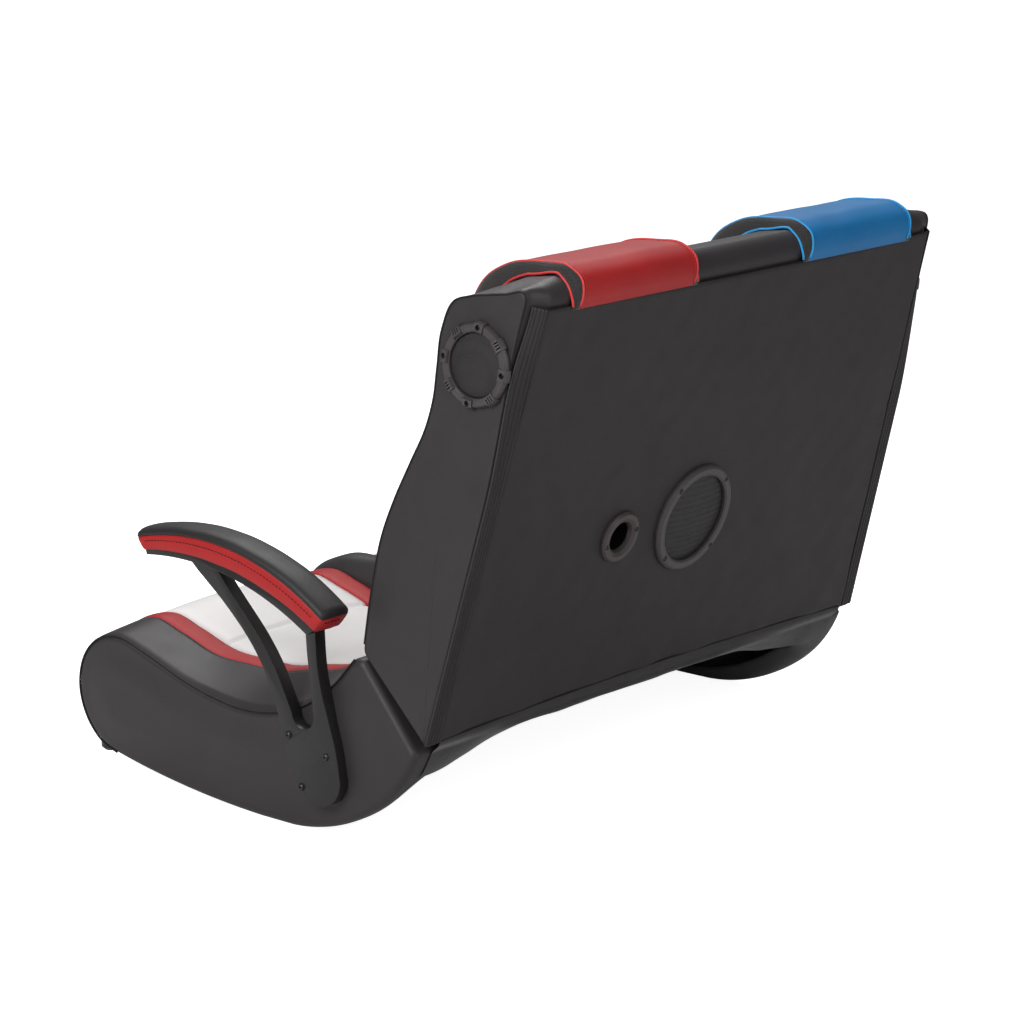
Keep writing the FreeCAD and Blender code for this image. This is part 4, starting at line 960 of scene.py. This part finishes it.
# Joins the last made material's colour, roughness and bump.
def dress(shader, colour, rough, relief):
    Flow.join(shader.inputs["Base Color"], colour)
    Flow.join(shader.inputs["Roughness"], rough)
    Flow.join(shader.inputs["Normal"], relief)


def rgba(hexColour):
    c = [int(hexColour[i:i + 2], 16) / 255 for i in (0, 2, 4)]
    lin = [((v + 0.055) / 1.055) ** 2.4 if v > 0.04045 else v / 12.92 for v in c]
    return (*lin, 1.0)


# Leather-like vinyl: fine grain cells, slow colour drift, a duller and brighter patchwork of gloss.
def vinyl(name, dark, light, rough=0.46, grain=620.0, depth=0.00022):
    fixed = {"Specular IOR Level": 0.36, "Sheen Weight": 0.02, "Sheen Roughness": 0.5}
    material, shader, place = newMaterial(name, fixed)
    cells = cellGrid(place, 1 / grain, 1.0, "DISTANCE_TO_EDGE")
    pebble = Flow.math("MINIMUM", cells * 5.0, 1.0)
    fine = noise(place, grain * 1.7, 3.0, 0.6)
    drift = noise(place, 5.0, 3.0, 0.55)
    worn = noise(place, 26.0, 4.0, 0.6)
    tone = Flow.math("MULTIPLY_ADD", drift, 1.3, -0.15) * 0.6 + worn * 0.28 + pebble * 0.12
    grainBump = bumped(pebble * 0.7 + fine * 0.5, 0.35, depth)
    soft = bumped(noise(place, 11.0, 2.0), 0.3, 0.0025, Normal=grainBump)
    gloss = rough + (worn - 0.5) * 0.16 + (1.0 - pebble) * 0.1
    dress(shader, Flow.blendColour(tone, dark, light), gloss, soft)
    return material


# Woven cloth: two crossed threads read along the piece, with fluff and soft sheen.
def weave(name, dark, light, pitch=0.0011):
    fixed = {"Specular IOR Level": 0.25, "Sheen Weight": 0.4, "Sheen Roughness": 0.4}
    material, shader, place = newMaterial(name, fixed)
    split = Flow.add("ShaderNodeSeparateXYZ", {}, {"Vector": place})
    up = Flow(split.socket.node.outputs[2])
    turn = 2 * math.pi / pitch
    warp = Flow.math("SINE", split * turn)
    weft = Flow.math("SINE", up * turn)
    thread = Flow.math("MAXIMUM", warp, weft) * 0.5 + 0.5
    fluff = noise(place, 900.0, 3.0, 0.7)
    drift = noise(place, 7.0, 3.0)
    tone = thread * 0.35 + fluff * 0.35 + drift * 0.3
    relief = bumped(thread + fluff * 0.5, 0.5, pitch * 0.3)
    dress(shader, Flow.blendColour(tone, dark, light), 0.8 + (fluff - 0.5) * 0.15, relief)
    return material


# Spacer mesh: loose rows of round holes over a dark backing.
def spacerMesh(name, thread, hole, pitch=0.0042):
    material, shader, place = newMaterial(name, {"Specular IOR Level": 0.3, "Sheen Weight": 0.3})
    net = Flow.math("SMOOTH_MIN", cellGrid(place, pitch, 0.25) * 2.6, 1.0, 0.2)
    tone = Flow.math("MULTIPLY_ADD", noise(place, 60.0), 0.4, 0.6) * net
    dress(shader, Flow.blendColour(tone, hole, thread), 0.85 - net * 0.15, bumped(net, 0.8, 0.0012))
    return material


# Moulded plastic: spark-eroded texture, faint flow marks and a slightly rubbed look; given a plane, painted
# shade makes it near black beyond that plane.
def plastic(name, dark, light, rough, inside=None):
    material, shader, place = newMaterial(name, {"Specular IOR Level": 0.45})
    spark = noise(place, 1500.0, 2.0, 0.6)
    rub = noise(place, 32.0, 4.0, 0.65)
    drift = noise(place, 6.0)
    colour = Flow.blendColour(drift * 0.6 + rub * 0.4, dark, light)
    # Painted shade: beyond the given plane the colour is made near black, standing in for the shade inside
    # the port's recess.
    if inside is not None:  # darker beyond a plane that lies inside along the rear's outward direction
        outward = Flow.add("ShaderNodeVectorMath", {"operation": "DOT_PRODUCT"},
                           {0: place, 1: (0.0, math.cos(lean), -math.sin(lean))}, 1)
        paintedShade = Flow.math("LESS_THAN", outward, inside)
        colour = Flow.blendColour(paintedShade, colour, (0.0015, 0.0015, 0.0015, 1))
    dress(shader, colour, rough + (rub - 0.5) * 0.2, bumped(spark + rub * 0.4, 0.35, 0.00008))
    return material


# Metal: brushed or cast, with fine streaks in colour and gloss.
def metal(name, dark, light, rough):
    material, shader, place = newMaterial(name, {"Metallic": 1.0})
    stretched = Flow.add("ShaderNodeMapping", {}, {"Vector": place, "Scale": (40.0, 900.0, 900.0)})
    streak = noise(stretched, 1.0, 3.0, 0.6)
    cloud = noise(place, 20.0, 3.0)
    colour = Flow.blendColour(streak * 0.5 + cloud * 0.5, dark, light)
    dress(shader, colour, rough + (cloud - 0.5) * 0.2, bumped(streak, 0.2, 0.0001))
    return material


# Wood board: long grain lines bent by a slow noise, with pores.
def wood(name, dark, light):
    material, shader, place = newMaterial(name, {"Specular IOR Level": 0.3})
    laid = Flow.add("ShaderNodeMapping", {}, {"Vector": place, "Scale": (3.0, 60.0, 60.0)})
    rings = noise(laid, 1.0, 6.0, 0.6)
    pores = noise(place, 700.0, 2.0)
    lines = Flow.math("SINE", rings * 34.0) * 0.5 + 0.5
    colour = Flow.blendColour(lines * 0.7 + pores * 0.3, dark, light)
    dress(shader, colour, 0.6 + pores * 0.2, bumped(lines * 0.4 + pores, 0.4, 0.0004))
    return material


# Driver's grille: fine round holes on a square grid, with dust between them.
def grilleMesh(name, wire, hole, pitch):
    material, shader, place = newMaterial(name, {"Specular IOR Level": 0.4})
    rim = Flow.math("MINIMUM", cellGrid(place, pitch, 0.0) * 2.4, 1.0) ** 2.0
    dust = noise(place, 45.0, 4.0)
    colour = Flow.blendColour(rim * (dust * 0.4 + 0.8), hole, wire)
    dress(shader, colour, 0.55 + (dust - 0.5) * 0.2, bumped(rim, 0.5, pitch * 0.3))
    return material


# Plane of the rear cover's face at the port; the port's plastic beyond it gets painted shade.
portFace = float(leaned(np.array([0, 159.0, 195.0])) @ [0, math.cos(lean), -math.sin(lean)] * mm
                 + shiftY * mm * math.cos(lean))
finishRows = {
    "sideVinyl": (vinyl, "black vinyl", "242123", "383436", 0.42),
    "coverVinyl": (vinyl, "rear cover cloth", "221e1f", "2f2a2b", 0.56, 800.0, 0.00015),
    "pipingVinyl": (vinyl, "black piping", "040404", "0b0a0a", 0.55),
    "stripVinyl": (vinyl, "ribbed strip", "181516", "282425", 0.5),
    "topVinyl": (vinyl, "arm top vinyl", "1a1819", "2a2728", 0.44),
    "redVinyl": (vinyl, "red vinyl", "8f0f12", "b51d1e", 0.5),
    "redPiping": (vinyl, "red piping", "bd2a2b", "d94341", 0.42),
    "blueVinyl": (vinyl, "blue vinyl", "005a94", "087ab8", 0.5),
    "bluePiping": (vinyl, "blue piping", "1484c6", "35a2de", 0.42),
    "whiteVinyl": (vinyl, "white vinyl", "dcd9d8", "f2f0ef", 0.46),
    "spacer": (spacerMesh, "black spacer mesh", "2a2727", "030303"),
    "cloth": (weave, "black cloth", "1b191a", "343031"),
    "plasticBlack": (plastic, "black moulded plastic", "141213", "201e1f", 0.36),
    "ringPlastic": (plastic, "grey black ring plastic", "393435", "494344", 0.44),
    "portPlastic": (plastic, "port plastic", "352e2f", "453c3d", 0.44, portFace),
    "grille": (grilleMesh, "driver grille", "262324", "040404", 0.0026),
    "blackSteel": (metal, "black oxide steel", "161616", "2e2e2e", 0.38),
    "zincSteel": (metal, "zinc steel", "8c8d8f", "b9babc", 0.34),
    "alloy": (metal, "housing alloy", "8a8b8d", "b4b5b7", 0.42),
    "birch": (wood, "birch board", "b08a58", "d3b07c"),
}
finishes = {key: make(name, rgba(dark), rgba(light), *more)
            for key, (make, name, dark, light, *more) in finishRows.items()}
slotFinish = {"black_leather": "sideVinyl", "white_leather": "whiteVinyl", "red_leather": "redVinyl",
              "blue_leather": "blueVinyl", "red_pad": "redVinyl", "blue_pad": "blueVinyl",
              "black_pad": "topVinyl", "mesh_fabric": "spacer", "flap_cloth": "cloth", "board": "birch",
              "black_plastic": "plasticBlack", "black_steel": "blackSteel", "housing_alloy": "alloy"}
finishNodes = {"ringPlastic": ["speaker_ring_left", "speaker_ring_right", "subwoofer_ring"],
               "grille": ["speaker_grilles", "subwoofer_grille"], "portPlastic": ["port_tube"],
               "blackSteel": ["hinge_pins", "seat_hinge_leaves", "back_hinge_leaves"],
               "zincSteel": ["front_tube"], "alloy": ["amplifier"], "cloth": ["rear_board"],
               "birch": ["end_boards", "back_boards", "subwoofer_box"]}
nodeFinish = {node: finish for finish, nodes in finishNodes.items() for node in nodes}
pieceFinish = {"subwoofer_mesh": "grille", "speaker_moulding": "ringPlastic", "rear_cover": "coverVinyl",
               "edge_strip": "stripVinyl", "strip_binding": "sideVinyl"}
pieceFinish |= dict.fromkeys(("cover_top_seam", "cover_foot_seam", "end_piping", "back_piping", "arm_stitch"),
                             "pipingVinyl")


def giveFinish(piece, name):
    piece.data.materials.clear()
    piece.data.materials.append(finishes[name])


nodeSlot = {}
for part in frame["record"].get("materials", []):
    for node in part.get("nodes", []):
        nodeSlot[node] = part["slot"]
for name, node in frame["nodes"].items():
    giveFinish(node, nodeFinish.get(name, slotFinish.get(nodeSlot.get(name, ""), "plasticBlack")))
for piece in bpy.data.objects:
    if piece.type == "MESH" and piece.name not in frame["nodes"]:
        named = [f for key, f in pieceFinish.items() if piece.name.startswith(key)]
        if piece.name.startswith(("headrest_piping", "headrest_stitch")):
            named = ["redPiping" if piece.name.endswith("left") else "bluePiping"]
        giveFinish(piece, named[0] if named else slotFinish[piece.get("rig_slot", "black_leather")])
print("finishes done")


def whiteLight(kind, strength):
    return Flow.add(kind, {}, {"Color": (1, 1, 1, 1), "Strength": strength})


# Pale floor, white to the camera, that keeps a soft shadow; three large soft lamps above, beside and behind.
studio = {"glow": 0.92, "world": 0.17, "key": 175.0, "fill": 60.0, "rim": 110.0}
floorMesh = bpy.data.meshes.new("floor")
floorMesh.from_pydata([(-40, -40, 0), (40, -40, 0), (40, 40, 0), (-40, 40, 0)], [], [(0, 1, 2, 3)])
floor = placed("floor", floorMesh)
matt = {"Roughness": 0.9, "Specular IOR Level": 0.1}
floorLook, floorShader, floorPlace = newMaterial("studio floor", matt)
tint = noise(floorPlace, 2.0)
Flow.join(floorShader.inputs["Base Color"], Flow.blendColour(tint, (0.8, 0.8, 0.8, 1), (0.82, 0.82, 0.82, 1)))
path = Flow.add("ShaderNodeLightPath")
glow = whiteLight("ShaderNodeEmission", studio["glow"])
glowing = Flow.add("ShaderNodeAddShader", {}, {0: Flow(floorShader.outputs[0]), 1: glow})
mixed = Flow.add("ShaderNodeMixShader", {}, {0: path, 1: Flow(floorShader.outputs[0]), 2: glowing})
Flow.join(floorLook.node_tree.nodes["Material Output"].inputs["Surface"], mixed)
floorMesh.materials.append(floorLook)

world = bpy.data.worlds.new("studio")
bpy.context.scene.world = world
world.use_nodes = True
Flow.tree = world.node_tree
for node in list(world.node_tree.nodes):
    if node.type != "OUTPUT_WORLD":
        world.node_tree.nodes.remove(node)
seen = Flow.add("ShaderNodeLightPath")
dim = whiteLight("ShaderNodeBackground", studio["world"])
bright = whiteLight("ShaderNodeBackground", 1.0)
Flow.join(world.node_tree.nodes["World Output"].inputs["Surface"],
          Flow.add("ShaderNodeMixShader", {}, {0: seen, 1: dim, 2: bright}))


def softLamp(name, power, size, place, target):
    lamp = bpy.data.lights.new(name, "AREA")
    lamp.energy, lamp.size = power, size
    lampObject = placed(name, lamp)
    lampObject.location = place
    lampObject.rotation_euler = (Vector(target) - Vector(place)).to_track_quat("-Z", "Y").to_euler()


softLamp("key lamp", studio["key"], 2.4, (4.2, 0.4, 3.0), (0.2, 0, 0.4))
softLamp("fill lamp", studio["fill"], 3.0, (0.6, 4.6, 2.4), (0, 0, 0.4))
softLamp("top lamp", studio["rim"], 2.6, (-1.6, -1.6, 4.0), (0, 0, 0.4))
bpy.context.scene.view_settings.view_transform = "Standard"
print("studio done")
